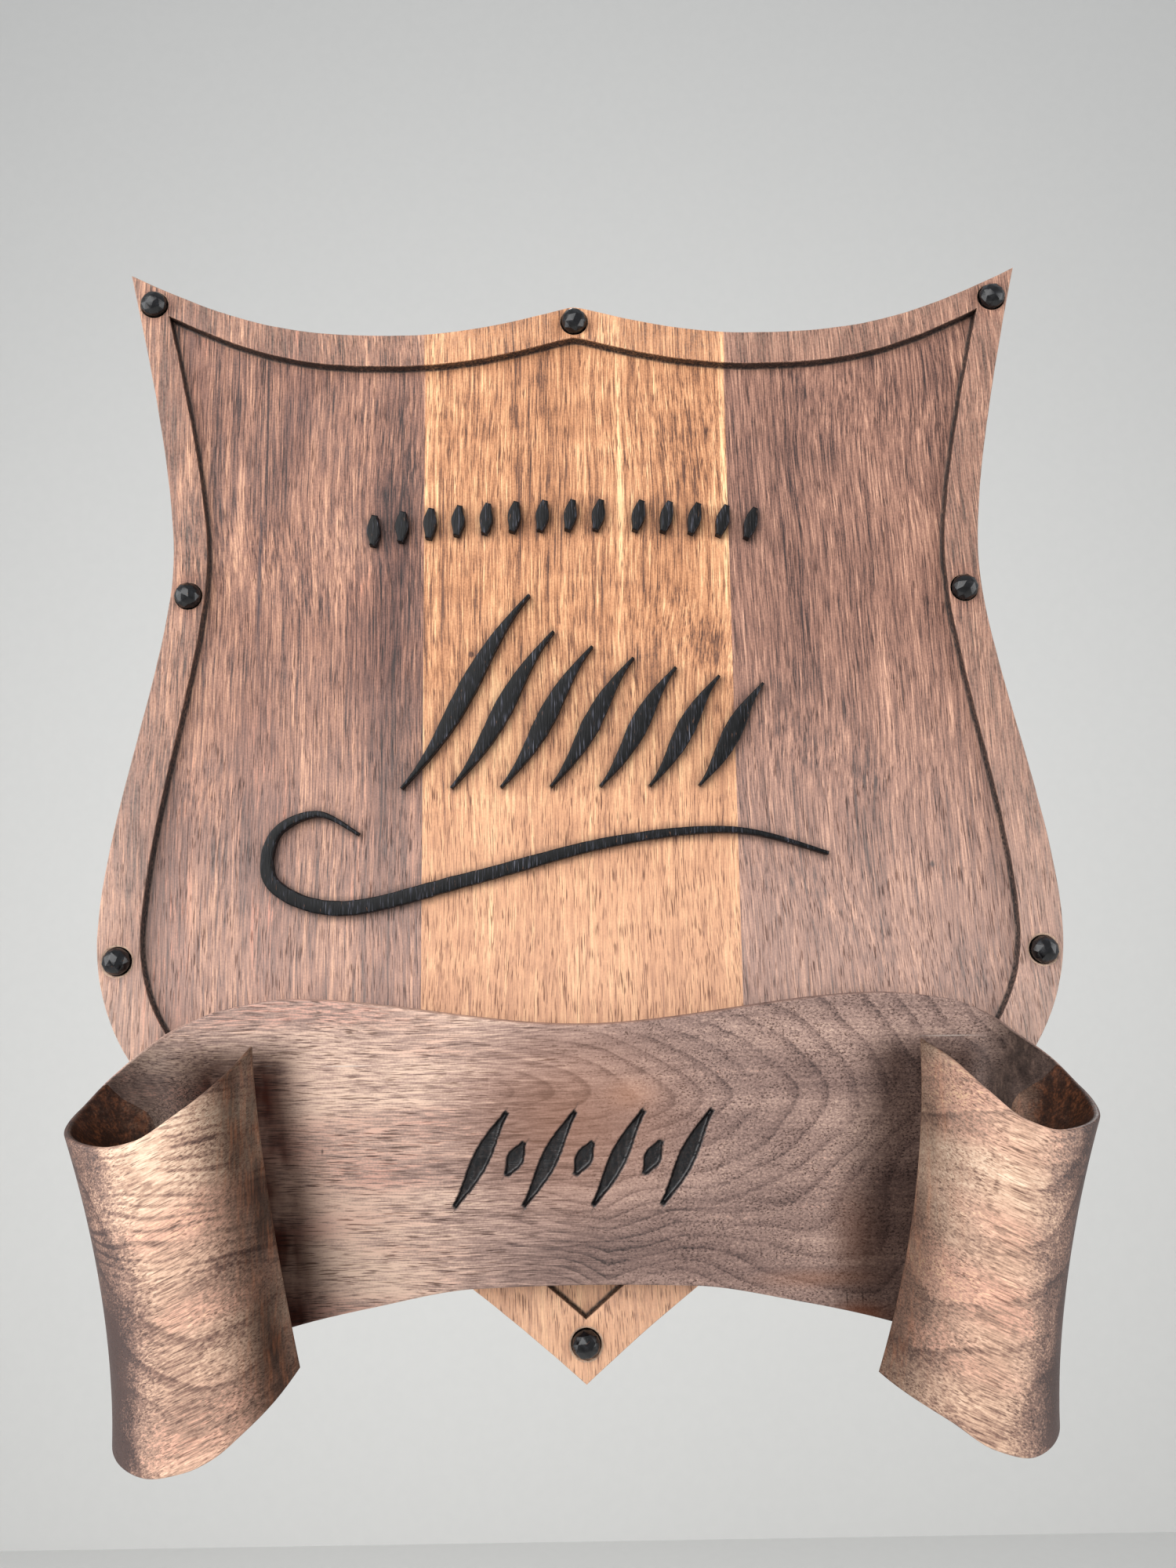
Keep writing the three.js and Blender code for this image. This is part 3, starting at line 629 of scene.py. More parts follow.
def offset_loop(points, inset):
    """Moves a counter-clockwise closed loop inwards by inset, mitred at its corners."""
    p = np.asarray(points, float)
    edge = np.roll(p, -1, 0) - p
    edge /= np.linalg.norm(edge, axis=1, keepdims=True)
    inward = np.stack([-edge[:, 1], edge[:, 0]], 1)
    before = np.roll(inward, 1, 0)
    both = inward + before
    share = np.maximum(1 + (inward * before).sum(1), 0.25)
    moved = p + inset * both / share[:, None]
    forward = edge + np.roll(edge, 1, 0)
    bend = (edge * np.roll(edge, 1, 0)).sum(1)
    count = len(p)
    for k in np.nonzero(bend < 0.9)[0]:
        for step in (1, -1):
            for i in range(1, 60):
                j = (k + step * i) % count
                if (moved[j] - moved[k]) @ forward[k] * step >= 0:
                    break
                moved[j] = moved[k]
    return moved


# Shield outline, as in the CAD source

HANDLES = {"peak": 0.08, "dip": (0.5, 0.4), "corner": (0.4, 0.45), "waist": (0.2, 0.27)}
HANDLES |= {"bulge": (0.3, 0.44), "shoulder": (0.6, 0.26), "tip": 0.36}
corner_x, waist_x, shoulder_x = HALF_WIDTH - 1.8, HALF_WIDTH - 29, HALF_WIDTH - 63.6
foot_turn = math.atan(SHOULDER_SLOPE)
inner_shoulder_x = shoulder_x - RIM_FOOT * math.sin(foot_turn)
outer_plan = {
    "corner": (corner_x, CORNER_HEIGHT),
    "dip": (DIP_X, DIP_HEIGHT),
    "peak": PEAK_HEIGHT,
    "waist": (waist_x, WAIST_HEIGHT),
    "bulge": (HALF_WIDTH, BULGE_HEIGHT),
    "shoulder": (shoulder_x, SHOULDER_HEIGHT),
    "tip": TIP_HEIGHT,
}
inner_plan = {
    "corner": (corner_x - RIM_CORNER_ACROSS, CORNER_HEIGHT - RIM_CORNER_DOWN),
    "dip": (DIP_X, DIP_HEIGHT - RIM_TOP),
    "peak": PEAK_HEIGHT - RIM_TOP,
    "waist": (waist_x - RIM_WAIST, WAIST_HEIGHT),
    "bulge": (HALF_WIDTH - RIM_SIDE, BULGE_HEIGHT),
    "shoulder": (inner_shoulder_x, SHOULDER_HEIGHT + RIM_FOOT * math.cos(foot_turn)),
    "tip": TIP_HEIGHT + RIM_FOOT * math.hypot(1, TIP_SLOPE),
}


def cubic(a, b, c, d, t):
    """A place on a Bezier curve."""
    a, b, c, d = (np.array(q, float) for q in (a, b, c, d))
    return a * (1 - t) ** 3 + 3 * b * t * (1 - t) ** 2 + 3 * c * t * t * (1 - t) + d * t**3


def shield_loop(plan, steps=44):
    """Counter-clockwise loop through the plan's points, with steps points on each curve."""
    (cx, cy), (dx, dy), (wx, wy) = plan["corner"], plan["dip"], plan["waist"]
    (bx, by), (sx, sy) = plan["bulge"], plan["shoulder"]
    peak, tip = plan["peak"], plan["tip"]
    top, flank, hip, heel, drop = cx - dx, cy - wy, wy - by, bx - sx, by - sy
    h = HANDLES
    top_pull, flank_pull = h["corner"][0] * top, h["corner"][1] * flank
    heel_pull, foot_share = h["shoulder"][0] * heel, h["shoulder"][1]
    tip_pull = h["tip"] * sx
    above_corner = (cx - top_pull, cy - top_pull * TOP_SLOPE)
    below_corner = (cx - flank_pull * CORNER_SLOPE, cy - flank_pull)
    above_shoulder = (sx + heel_pull, sy + heel_pull * SHOULDER_SLOPE)
    below_shoulder = ((1 - foot_share) * sx, sy - foot_share * sx * SHOULDER_SLOPE)
    curves = (
        ((0, peak), (h["peak"] * dx, peak), (h["dip"][0] * dx, dy), (dx, dy)),
        ((dx, dy), (dx + h["dip"][1] * top, dy), above_corner, (cx, cy)),
        ((cx, cy), below_corner, (wx, wy + h["waist"][0] * flank), (wx, wy)),
        ((wx, wy), (wx, wy - h["waist"][1] * hip), (bx, by + h["bulge"][0] * hip), (bx, by)),
        ((bx, by), (bx, by - h["bulge"][1] * drop), above_shoulder, (sx, sy)),
        ((sx, sy), below_shoulder, (tip_pull, tip + tip_pull * TIP_SLOPE), (0, tip)),
    )
    t = np.arange(steps)[:, None] / steps
    right_half = np.concatenate([cubic(*curve, t) for curve in curves] + [[(0, tip)]])
    left_half = right_half[1:-1][::-1] * (-1, 1)
    return np.concatenate([right_half, left_half])[::-1]


def wavering(loop, reach, seed):
    """Moves a loop inwards by up to reach, as a hand-cut edge wanders."""
    n1 = np.array([noise.noise((x / 14, y / 14, seed)) for x, y in loop])
    n2 = np.array([noise.noise((x / 4, y / 4, seed + 9)) for x, y in loop])
    amount = reach * np.clip(0.5 + 0.4 * n1 + 0.25 * n2, 0, 1)
    return offset_loop(loop, amount[:, None])


def stroke_sections(line, width, ends, steps):
    """Places, sideways directions and half widths along a stroke's centre line."""
    t = np.linspace(0, 1, steps + 1)
    at = np.array([line(k) for k in t])
    along = np.gradient(at, axis=0)
    along /= np.linalg.norm(along, axis=1, keepdims=True)
    swell = ends + (1 - ends) * np.abs(np.sin(math.pi * t)) ** 1.5
    return at, along, width * swell / 2


def slanted(foot_x, foot_y, rise, lean, bow):
    """The centre line of a leaning stroke."""
    run = rise * math.tan(math.radians(lean))
    low = (foot_x + run / 3 + bow, foot_y + rise / 3)
    high = (foot_x + 2 * run / 3 - bow, foot_y + 2 * rise / 3)
    return lambda t: cubic((foot_x, foot_y), low, high, (foot_x + run, foot_y + rise), t)


def spline(points):
    """Uniform Catmull-Rom curve through the points."""
    p = np.array(points, float)

    def at(t):
        k = t * (len(p) - 1)
        i = min(int(k), len(p) - 2)
        w = k - i
        p0, p1, p2, p3 = p[max(i - 1, 0)], p[i], p[i + 1], p[min(i + 2, len(p) - 1)]
        v0, v1 = (p2 - p0) / 2, (p3 - p1) / 2
        cube, square = 2 * p1 - 2 * p2 + v0 + v1, -3 * p1 + 3 * p2 - 2 * v0 - v1
        return cube * w**3 + square * w * w + v0 * w + p1

    return at


SMALL_COUNT, SMALL_FIRST_GROUP, SMALL_PITCH, SMALL_SPACE = 14, 9, 14.0, 6.0
SMALL_LENGTH, SMALL_LEAN, SMALL_ROW_X, SMALL_ROW_HEIGHT, SMALL_ROW_RADIUS = 15.5, 12, -7, 139, 720
LARGE_COUNT, LARGE_PITCH, LARGE_TALLEST, LARGE_SHORTEST, LARGE_LEAN = 7, 24, 96, 50, 33
LARGE_FIRST_X, LARGE_FOOT_HEIGHT, SWASH_SIZE = -86, 2, 168
SWASH_POINTS = [(-0.12, -0.13), (-0.24, -0.07), (-0.36, -0.13), (-0.36, -0.27), (-0.16, -0.34)]
SWASH_POINTS += [(0.2, -0.26), (0.6, -0.16), (0.95, -0.13), (1.22, -0.2)]
CUT_COUNT, CUT_PITCH, CUT_LEAN, CUT_ROW_HEIGHT, CUT_LONG, CUT_SHORT = 7, 15.5, 30, -169, 48, 17


def small_strokes():
    row_length = (SMALL_COUNT - 1) * SMALL_PITCH + SMALL_SPACE
    for i in range(SMALL_COUNT):
        space = 0 if i < SMALL_FIRST_GROUP else SMALL_SPACE
        x = SMALL_ROW_X + i * SMALL_PITCH + space - row_length / 2
        y = SMALL_ROW_HEIGHT - x**2 / (2 * SMALL_ROW_RADIUS)
        lean = SMALL_LEAN + math.degrees(x / SMALL_ROW_RADIUS)
        foot = x - SMALL_LENGTH / 2 * math.tan(math.radians(lean))
        line = slanted(foot, y - SMALL_LENGTH / 2, SMALL_LENGTH, lean, 0.8)
        yield stroke_sections(line, 6.6, 0.45, 20)


def large_strokes():
    for i in range(LARGE_COUNT):
        rise = LARGE_TALLEST + (LARGE_SHORTEST - LARGE_TALLEST) * math.sqrt(i / (LARGE_COUNT - 1))
        foot = LARGE_FIRST_X + LARGE_PITCH * i
        yield stroke_sections(slanted(foot, LARGE_FOOT_HEIGHT, rise, LARGE_LEAN, rise / 12), 9, 0.16, 60)


def swash():
    start, size = np.array((LARGE_FIRST_X, LARGE_FOOT_HEIGHT)), SWASH_SIZE
    return stroke_sections(spline([start + size * np.array(p) for p in SWASH_POINTS]), 7, 0.25, 220)


def cut_strokes():
    for i in range(CUT_COUNT):
        rise = (CUT_SHORT if i % 2 else CUT_LONG) * math.cos(math.radians(CUT_LEAN))
        foot = (i - CUT_COUNT // 2) * CUT_PITCH - rise / 2 * math.tan(math.radians(CUT_LEAN))
        line = slanted(foot, CUT_ROW_HEIGHT - rise / 2, rise, CUT_LEAN, rise / 20)
        yield stroke_sections(line, 8, 0.3, 28)


raised = [*small_strokes(), *large_strokes(), swash()]


def stroke_outline(sections, grow=0.0):
    at, along, half = sections
    out = np.stack([-along[:, 1], along[:, 0]], 1) * (half[:, None] + grow)
    return np.concatenate([at + out, (at - out)[::-1]])


def inside(points, polygon):
    x, y = points[:, 0:1], points[:, 1:2]
    x0, y0 = polygon[:, 0], polygon[:, 1]
    x1, y1 = np.roll(x0, -1), np.roll(y0, -1)
    crosses = (y0 > y) != (y1 > y)
    with np.errstate(divide="ignore", invalid="ignore"):
        cut = (x1 - x0) * (y - y0) / (y1 - y0) + x0
    return (crosses & (x < cut)).sum(1) % 2 == 1


def distance_to(points, polygon):
    a, b = polygon, np.roll(polygon, -1, 0)
    best = np.full(len(points), 1e9)
    for p, q in zip(a, b):
        d = q - p
        t = np.clip(((points - p) @ d) / max(d @ d, 1e-9), 0, 1)
        best = np.minimum(best, np.linalg.norm(points - p - t[:, None] * d, axis=1))
    return best


def signed_distance(points, polygons, near):
    """Negative inside a polygon; points further than near keep that distance."""
    result = np.full(len(points), float(near))
    for polygon in polygons:
        low, high = polygon.min(0) - near, polygon.max(0) + near
        close = np.all((points > low) & (points < high), 1)
        if close.any():
            some = points[close]
            d = distance_to(some, polygon)
            d = np.where(inside(some, polygon), -d, d)
            result[close] = np.minimum(result[close], d)
    return result


# Shield

CORNER_STUD_IN, CORNER_STUD_DOWN = 12.8, 16.9
WAIST_STUD_DOWN, SIDE_STUD_DOWN, FOOT_STUD_UP = 16.4, 10.7, 17.7
stud_rows = {
    "top": (corner_x - CORNER_STUD_IN, CORNER_HEIGHT - CORNER_STUD_DOWN),
    "waist": (waist_x - RIM_WAIST / 2, WAIST_HEIGHT - WAIST_STUD_DOWN),
    "side": (HALF_WIDTH - RIM_SIDE / 2, BULGE_HEIGHT - SIDE_STUD_DOWN),
}
stud_places = {}
for row, (x, y) in stud_rows.items():
    stud_places[f"stud_{row}_left"] = (-x, y)
    if row == "top":
        stud_places["stud_top_center"] = (0.0, PEAK_HEIGHT - RIM_TOP / 2)
    stud_places[f"stud_{row}_right"] = (x, y)
stud_places["stud_foot"] = (0.0, TIP_HEIGHT + FOOT_STUD_UP)

# Inset from the outline and level of each band of faces, with how raw it is and how dark it is painted;
# the dark on the step walls and the field at their foot is painted shade
EDGE_BANDS = ((0.2, 0.2), (0.0, 0.7), (0.0, 18.9), (0.12, 19.5, 0.15), (0.42, 19.87, 0.3))
EDGE_BANDS += ((0.9, BOARD_THICKNESS, 0.15),)
# Painted shade: the step walls dark, fading out on the field at their foot.
STEP_BANDS = ((-0.3, 19.88, 0.2), (-0.05, 19.4, 0.0, 0.7), (0.0, 18.8, 0.0, 1.0))
STEP_BANDS += ((0.1, 15.5, 0.0, 1.0), (0.25, 15.1, 0.0, 1.0), (0.7, FIELD_LEVEL, 0.0, 0.85))
STEP_BANDS += ((1.1, FIELD_LEVEL, 0.2, 0.3), (1.6, FIELD_LEVEL))
GRID_PITCH = 2.6


def ring_points(x, y, radius, count=40):
    turn = np.linspace(0, 2 * math.pi, count, endpoint=False)
    return np.stack([x + radius * np.cos(turn), y + radius * np.sin(turn)], 1)


def shield_mesh():
    verts, faces, raw, burnt = [], [], [], []

    def add_point(x, y, forward, raw_value=0.0, burnt_value=0.0):
        verts.append((x, y, forward))
        raw.append(raw_value)
        burnt.append(burnt_value)
        return len(verts) - 1

    def add_loop(loop, forward, *values):
        return [add_point(x, y, forward, *values) for x, y in loop]

    def bridge(a, b):
        for i in range(len(a)):
            j = (i + 1) % len(a)
            faces.append((a[i], a[j], b[j], b[i]))

    def follow(previous, loop, bands):
        for inset, forward, *values in bands:
            current = add_loop(offset_loop(loop, inset), forward, *values)
            bridge(previous, current)
            previous = current
        return previous

    def flat_places(index):
        return np.array([verts[i][:2] for i in index])

    def fill(loops, holes, more=()):
        """Flat faces between index loops, which all lie at one level, and through more points."""
        index = [i for loop in loops + holes for i in loop]
        edges, start = [], 0
        for loop in loops + holes:
            n = len(loop)
            edges += [(start + i, start + (i + 1) % n) for i in range(n)]
            start += n
        forward = verts[index[0]][2]
        index += [add_point(x, y, forward, *values) for x, y, *values in more]
        flat = [Vector(verts[i][:2]) for i in index]
        points, _, triangles, origin, _, _ = delaunay_2d_cdt(flat, edges, [], 0, 1e-5)
        own = []
        for point, sources in zip(points, origin):
            own.append(index[sources[0]] if sources else add_point(*point, forward))
        centres = np.array([points[a] + points[b] + points[c] for a, b, c in triangles]) / 3
        keep = np.zeros(len(centres), bool)
        for loop in loops:
            keep |= inside(centres, flat_places(loop))
        for loop in holes:
            keep &= ~inside(centres, flat_places(loop))
        faces.extend(tuple(own[v] for v in triangles[k]) for k in np.nonzero(keep)[0])

    edge = wavering(shield_loop(outer_plan), 0.35, 3.0)
    sunk = wavering(shield_loop(inner_plan), 0.5, 17.0)
    back = add_loop(offset_loop(edge, 0.7), 0.0)
    rim_edge = follow(back, edge, EDGE_BANDS)
    lip = add_loop(offset_loop(sunk, -0.75), BOARD_THICKNESS, 0.1)
    rings, radii = {}, {}
    for name, (x, y) in stud_places.items():
        room = np.linalg.norm(flat_places(rim_edge + lip) - (x, y), axis=1).min() - 0.12
        radii[name] = min(STUD_RADIUS + 1.2, room)
        rings[name] = add_loop(ring_points(x, y, radii[name]), BOARD_THICKNESS)
    fill([rim_edge], [lip, *rings.values()])
    scribe = follow(lip, sunk, STEP_BANDS)
    xs, ys = np.arange(-226, 227, GRID_PITCH), np.arange(-262, 262, GRID_PITCH)
    grid = np.array([(x + (GRID_PITCH / 2 if j % 2 else 0), y) for j, y in enumerate(ys) for x in xs])
    boundary = flat_places(scribe)
    grid = grid[inside(grid, boundary)]
    grid = grid[distance_to(grid, boundary) > 1.6]
    outlines = [stroke_outline(s) for s in raised]
    rims = np.concatenate([stroke_outline(s, 0.5) for s in raised])
    away = signed_distance(grid, outlines, 9.0)
    grid = grid[(away > 1.6) | (away < -1.2)]
    grid = np.concatenate([grid, rims[inside(rims, boundary)]])
    away = signed_distance(grid, outlines, 9.0)
    # Painted contact shade: the field darkened in a narrow band round each raised stroke.
    contact_shade = np.clip(1 - np.maximum(away, 0) / 2.6, 0, 1) ** 1.5 * 0.6
    fill([scribe], [], [(x, y, 0.0, b) for (x, y), b in zip(grid, contact_shade)])
    for name, ring in rings.items():
        # A bright rim of bare wood, then the hole's wall painted dark: painted shade in the gap round
        # the stud.
        hole = ((radii[name] - 0.15, 19.95, 1.0), (STUD_RADIUS + 0.22, 19.4, 1.0))
        for radius, forward, *values in (*hole, (STUD_RADIUS + 0.2, 17.0, 0.0, 1.0)):
            loop = add_loop(ring_points(*stud_places[name], radius), forward, *values)
            bridge(ring, loop)
            ring = loop
        faces.append(tuple(ring))
    fill([back], [])
    mesh = bpy.data.meshes.new("shield")
    mesh.from_pydata([place(*v) for v in verts], [], faces)
    add_layers(mesh, raw=raw, burnt=burnt)
    return mesh


def slice_of(mesh, cuts):
    """The part of a closed mesh inside every plane (point, outward normal), capped."""
    bm = bmesh.new()
    bm.from_mesh(mesh)
    bmesh.ops.remove_doubles(bm, verts=bm.verts, dist=1e-7)
    for point, normal in cuts:
        geometry = bm.verts[:] + bm.edges[:] + bm.faces[:]
        bmesh.ops.bisect_plane(
            bm, geom=geometry, plane_co=point, plane_no=normal, clear_outer=True, dist=1e-7
        )
        rim = [e for e in bm.edges if e.is_boundary]
        if rim:
            bmesh.ops.triangle_fill(bm, edges=rim, use_beauty=True, normal=normal)
            bmesh.ops.recalc_face_normals(bm, faces=bm.faces)
    return bm


shield = shield_mesh()
left_seam, right_seam = (-SEAM / 1000, 0, 0), (SEAM / 1000, 0, 0)
leftward, rightward = (-1, 0, 0), (1, 0, 0)
for key, slot, cuts in (
    ("left", "walnut_side", [(left_seam, rightward)]),
    ("center", "walnut_center", [(left_seam, leftward), (right_seam, rightward)]),
    ("right", "walnut_side", [(right_seam, leftward)]),
):
    board = object_from("board_" + key, slice_of(shield, cuts), wood_materials[key])
    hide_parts("shield_board_" + key)
bpy.data.meshes.remove(shield)


# Raised strokes, softened along their top edges and a little uneven

# How far in from the stroke's edge its rounded top is, and how far below the top
ROUNDING = ((0.0, 0.75), (0.12, 0.3), (0.36, 0.07), (0.8, 0.0))


def stroke_body(bm, sections, top, seed):
    at, along, half = sections
    side = np.stack([-along[:, 1], along[:, 0]], 1)
    profile = [(0.0, -0.5)] + [(inset, top - drop) for inset, drop in ROUNDING]
    run = np.concatenate([[0], np.cumsum(np.linalg.norm(np.diff(at, axis=0), axis=1))])
    total = run[-1]
    ends = np.array([inset for inset, _ in ROUNDING[1:]])
    stations = np.unique(np.concatenate([run, ends, total - ends]))
    rows = []
    for r in stations[(stations >= 0) & (stations <= total)]:
        p = np.array([np.interp(r, run, at[:, k]) for k in (0, 1)])
        n = np.array([np.interp(r, run, side[:, k]) for k in (0, 1)])
        n /= np.linalg.norm(n)
        broad_wave = 0.06 * noise.noise((p[0] / 5, p[1] / 5, seed))
        h = np.interp(r, run, half) * (1 + broad_wave + 0.02 * noise.noise((p[0], p[1], seed)))
        crown = top - np.interp(min(r, total - r), *zip(*ROUNDING))
        left = []
        for inset, level in profile:
            level = min(level, crown) if level > 0 else level
            left.append((p + n * max(h - inset, 0.12 * h), level))
        mirrored = [(2 * p - q, level) for q, level in reversed(left)]
        section = [*left, (p, crown), *mirrored]
        rows.append([bm.verts.new(place(*q, FIELD_LEVEL + level)) for q, level in section])
    for a, b in zip(rows, rows[1:]):
        for i in range(len(a) - 1):
            bm.faces.new((a[i], a[i + 1], b[i + 1], b[i]))
        bm.faces.new((a[-1], a[0], b[0], b[-1]))
    bm.faces.new(rows[0])
    bm.faces.new(rows[-1][::-1])


bm = bmesh.new()
for k, sections in enumerate(raised):
    stroke_body(bm, sections, RELIEF_HEIGHT, k * 7.3)
bmesh.ops.triangulate(bm, faces=[f for f in bm.faces if len(f.verts) > 4])
strokes = object_from("raised_strokes", bm, stroke_material, sharp=50)


# Ribbon banner, as in the CAD source with softened edges

# A lip is its place, spread and curve. The edges are (course, height), with a course of 1
# where the roll starts and 2 at its lip.
LEFT_ROLL = {
    "lip": (110.5, 22.0, 1.34),
    "top": [(0, PANEL_TOP), (0.816, -97), (0.951, -100.4), (1.018, -103.2), (1.113, -110.3)]
    + [(1.186, -119.2), (1.26, -129), (1.367, -141), (1.5, -147.2), (1.68, -149.9)]
    + [(1.75, -147.7), (1.843, -137.1), (1.918, -126.7), (2, -113.4)],
    "bottom": [(0, PANEL_BOTTOM), (0.33, -224.5), (0.65, -231.8), (0.93, -241), (1.2, -258)]
    + [(1.48, -268.5), (1.65, -270.6), (1.76, -266.7), (1.818, -262.1), (1.875, -254.5)]
    + [(1.938, -245.6), (2, -235.4)],
}
RIGHT_ROLL = {
    "lip": (113.0, 23.0, 2.0),
    "top": [(0, PANEL_TOP), (0.813, -97.2), (0.949, -99.2), (1.036, -102.4), (1.121, -109.5)]
    + [(1.175, -116.4), (1.258, -125.9), (1.355, -137.2), (1.5, -145.5), (1.69, -148.3)]
    + [(1.778, -143.6), (1.855, -132.5), (1.932, -120.4), (2, -113.7)],
    "bottom": [(0, PANEL_BOTTOM), (0.33, -224.5), (0.65, -231.8), (0.93, -241), (1.2, -256)]
    + [(1.47, -265.8), (1.64, -268.6), (1.752, -263.3), (1.847, -253), (2, -240.3)],
}
EDGE_RADIUS = 1.1


def along_stations(stations, at):
    """A smooth curve through the stations that never overshoots them."""
    x, y = np.array(stations, float).T
    chord = np.diff(y) / np.diff(x)
    slope = np.zeros(len(x))
    product = chord[:-1] * chord[1:]
    total = np.where(chord[:-1] + chord[1:] == 0, 1, chord[:-1] + chord[1:])
    slope[1:-1] = np.where(product > 0, 2 * product / total, 0)
    slope[-1] = chord[-1]
    i = np.clip(np.searchsorted(x, at, side="left") - 1, 0, len(x) - 2)
    span = x[i + 1] - x[i]
    t = np.clip((at - x[i]) / span, 0, 1)
    rise, m0, m1 = y[i + 1] - y[i], slope[i] * span, slope[i + 1] * span
    return y[i] + t * m0 + t * t * (3 * rise - 2 * m0 - m1) + t**3 * (m0 + m1 - 2 * rise)


def smooth(x, low, high):
    t = np.clip((x - low) / (high - low), 0, 1)
    return t * t * (3 - 2 * t)


def wall_at(angle, depth):
    """The ribbon's thickness: thin at its lips, thicker deep inside each roll."""
    panel, thin = PANEL_THICKNESS, ROLL_LIP_THICKNESS
    lip = panel + (thin - panel) * smooth(angle, ROLL_START, -20)
    swell = panel + (ROLL_CORE_THICKNESS - panel) * smooth(angle, ROLL_START, -30)
    core = swell + (thin - swell) * smooth(angle, 0, ROLL_END)
    return lip + (core - lip) * smooth(depth, 0, ROLL_MOUTH_LENGTH)


def roll_angle(course):
    return ROLL_START + (ROLL_END - ROLL_START) * np.clip(np.abs(course) - 1, 0, 1)


def ribbon_points(course, v, front):
    """Plan points for signed courses and heights as shares v, arrays of one shape."""
    c = np.abs(course)
    is_left = course < 0
    top, bottom = (
        np.where(is_left, along_stations(LEFT_ROLL[key], c), along_stations(RIGHT_ROLL[key], c))
        for key in ("top", "bottom")
    )
    height = bottom + (top - bottom) * v
    x0, spread, power = (np.where(is_left, a, b) for a, b in zip(LEFT_ROLL["lip"], RIGHT_ROLL["lip"]))
    outer_x = ROLL_OUTER_X + ROLL_FLARE * v**ROLL_FLARE_POWER
    lip_x = x0 + spread * (1 - (1 - v) ** power)
    half_across = (outer_x - lip_x) / (1 - math.cos(math.radians(ROLL_END)))
    half_deep = ROLL_DEPTH / 2
    centre_x = outer_x - half_across
    depth = np.minimum(top - height, height - bottom)
    to_lip = (2 - c) * half_across * math.radians(ROLL_END - ROLL_START)
    near = np.minimum(np.clip(depth, 0, EDGE_RADIUS), np.clip(to_lip, 0, EDGE_RADIUS))
    eased = EDGE_RADIUS - np.sqrt(np.maximum(EDGE_RADIUS**2 - (EDGE_RADIUS - near) ** 2, 0))
    angle = roll_angle(c)
    wall = wall_at(angle, depth) - eased if front else eased
    turn = np.radians(angle)
    rolled_x = centre_x + (half_across - wall) * np.cos(turn)
    rolled_z = half_deep + (half_deep - wall) * np.sin(turn)
    x = np.where(c <= 1, c * centre_x, rolled_x)
    z = np.where(c <= 1, PANEL_THICKNESS - eased if front else eased, rolled_z)
    return np.stack([np.where(is_left, -x, x), height, BOARD_THICKNESS + z], -1)


def knife_marks(points, polygons):
    """Depth and blackness of the cut strokes at plan points of the panel's face."""
    warp = [[noise.noise((x / 1.7, y / 1.7, z)) for z in (2.0, 12.0)] for x, y in points]
    warp = 0.3 * np.array(warp)
    away = signed_distance(points + warp, polygons, 4.0)
    rough = np.array([noise.noise((x / 2.2, y / 6.0, 5.0)) for x, y in points])
    depth = CUT_DEPTH * (1 - smooth(away, -1.1, 0.1)) * (1 + 0.16 * rough)
    black = 1 - smooth(away, -0.15, 0.3)
    for i, polygon in enumerate(polygons):
        half = len(polygon) // 2
        ends = ((polygon[0] + polygon[-1]) / 2, (polygon[half - 1] + polygon[half]) / 2)
        way = (ends[1] - ends[0]) / np.linalg.norm(ends[1] - ends[0])
        for k, end in enumerate(ends):
            sign = 1 if k else -1
            across = np.array((-way[1], way[0])) * (0.5 if (i + k) % 2 else -0.6)
            start = end + across - way * sign * 3
            stop = end + across * 1.5 + way * sign * (1.6 + (i * 37 % 5) * 0.5)
            d = stop - start
            t = np.clip(((points - start) @ d) / (d @ d), 0, 1)
            off = np.linalg.norm(points - start - t[:, None] * d, axis=1)
            line = (1 - smooth(off, 0.1, 0.45)) * (1 - 0.6 * t)
            depth = np.maximum(depth, 0.5 * line)
            black = np.maximum(black, 0.75 * line)
    return depth, black


CUT_DEPTH = 2.0
RIBBON_FOOT, RIBBON_FRONT = -270.52, 111.96


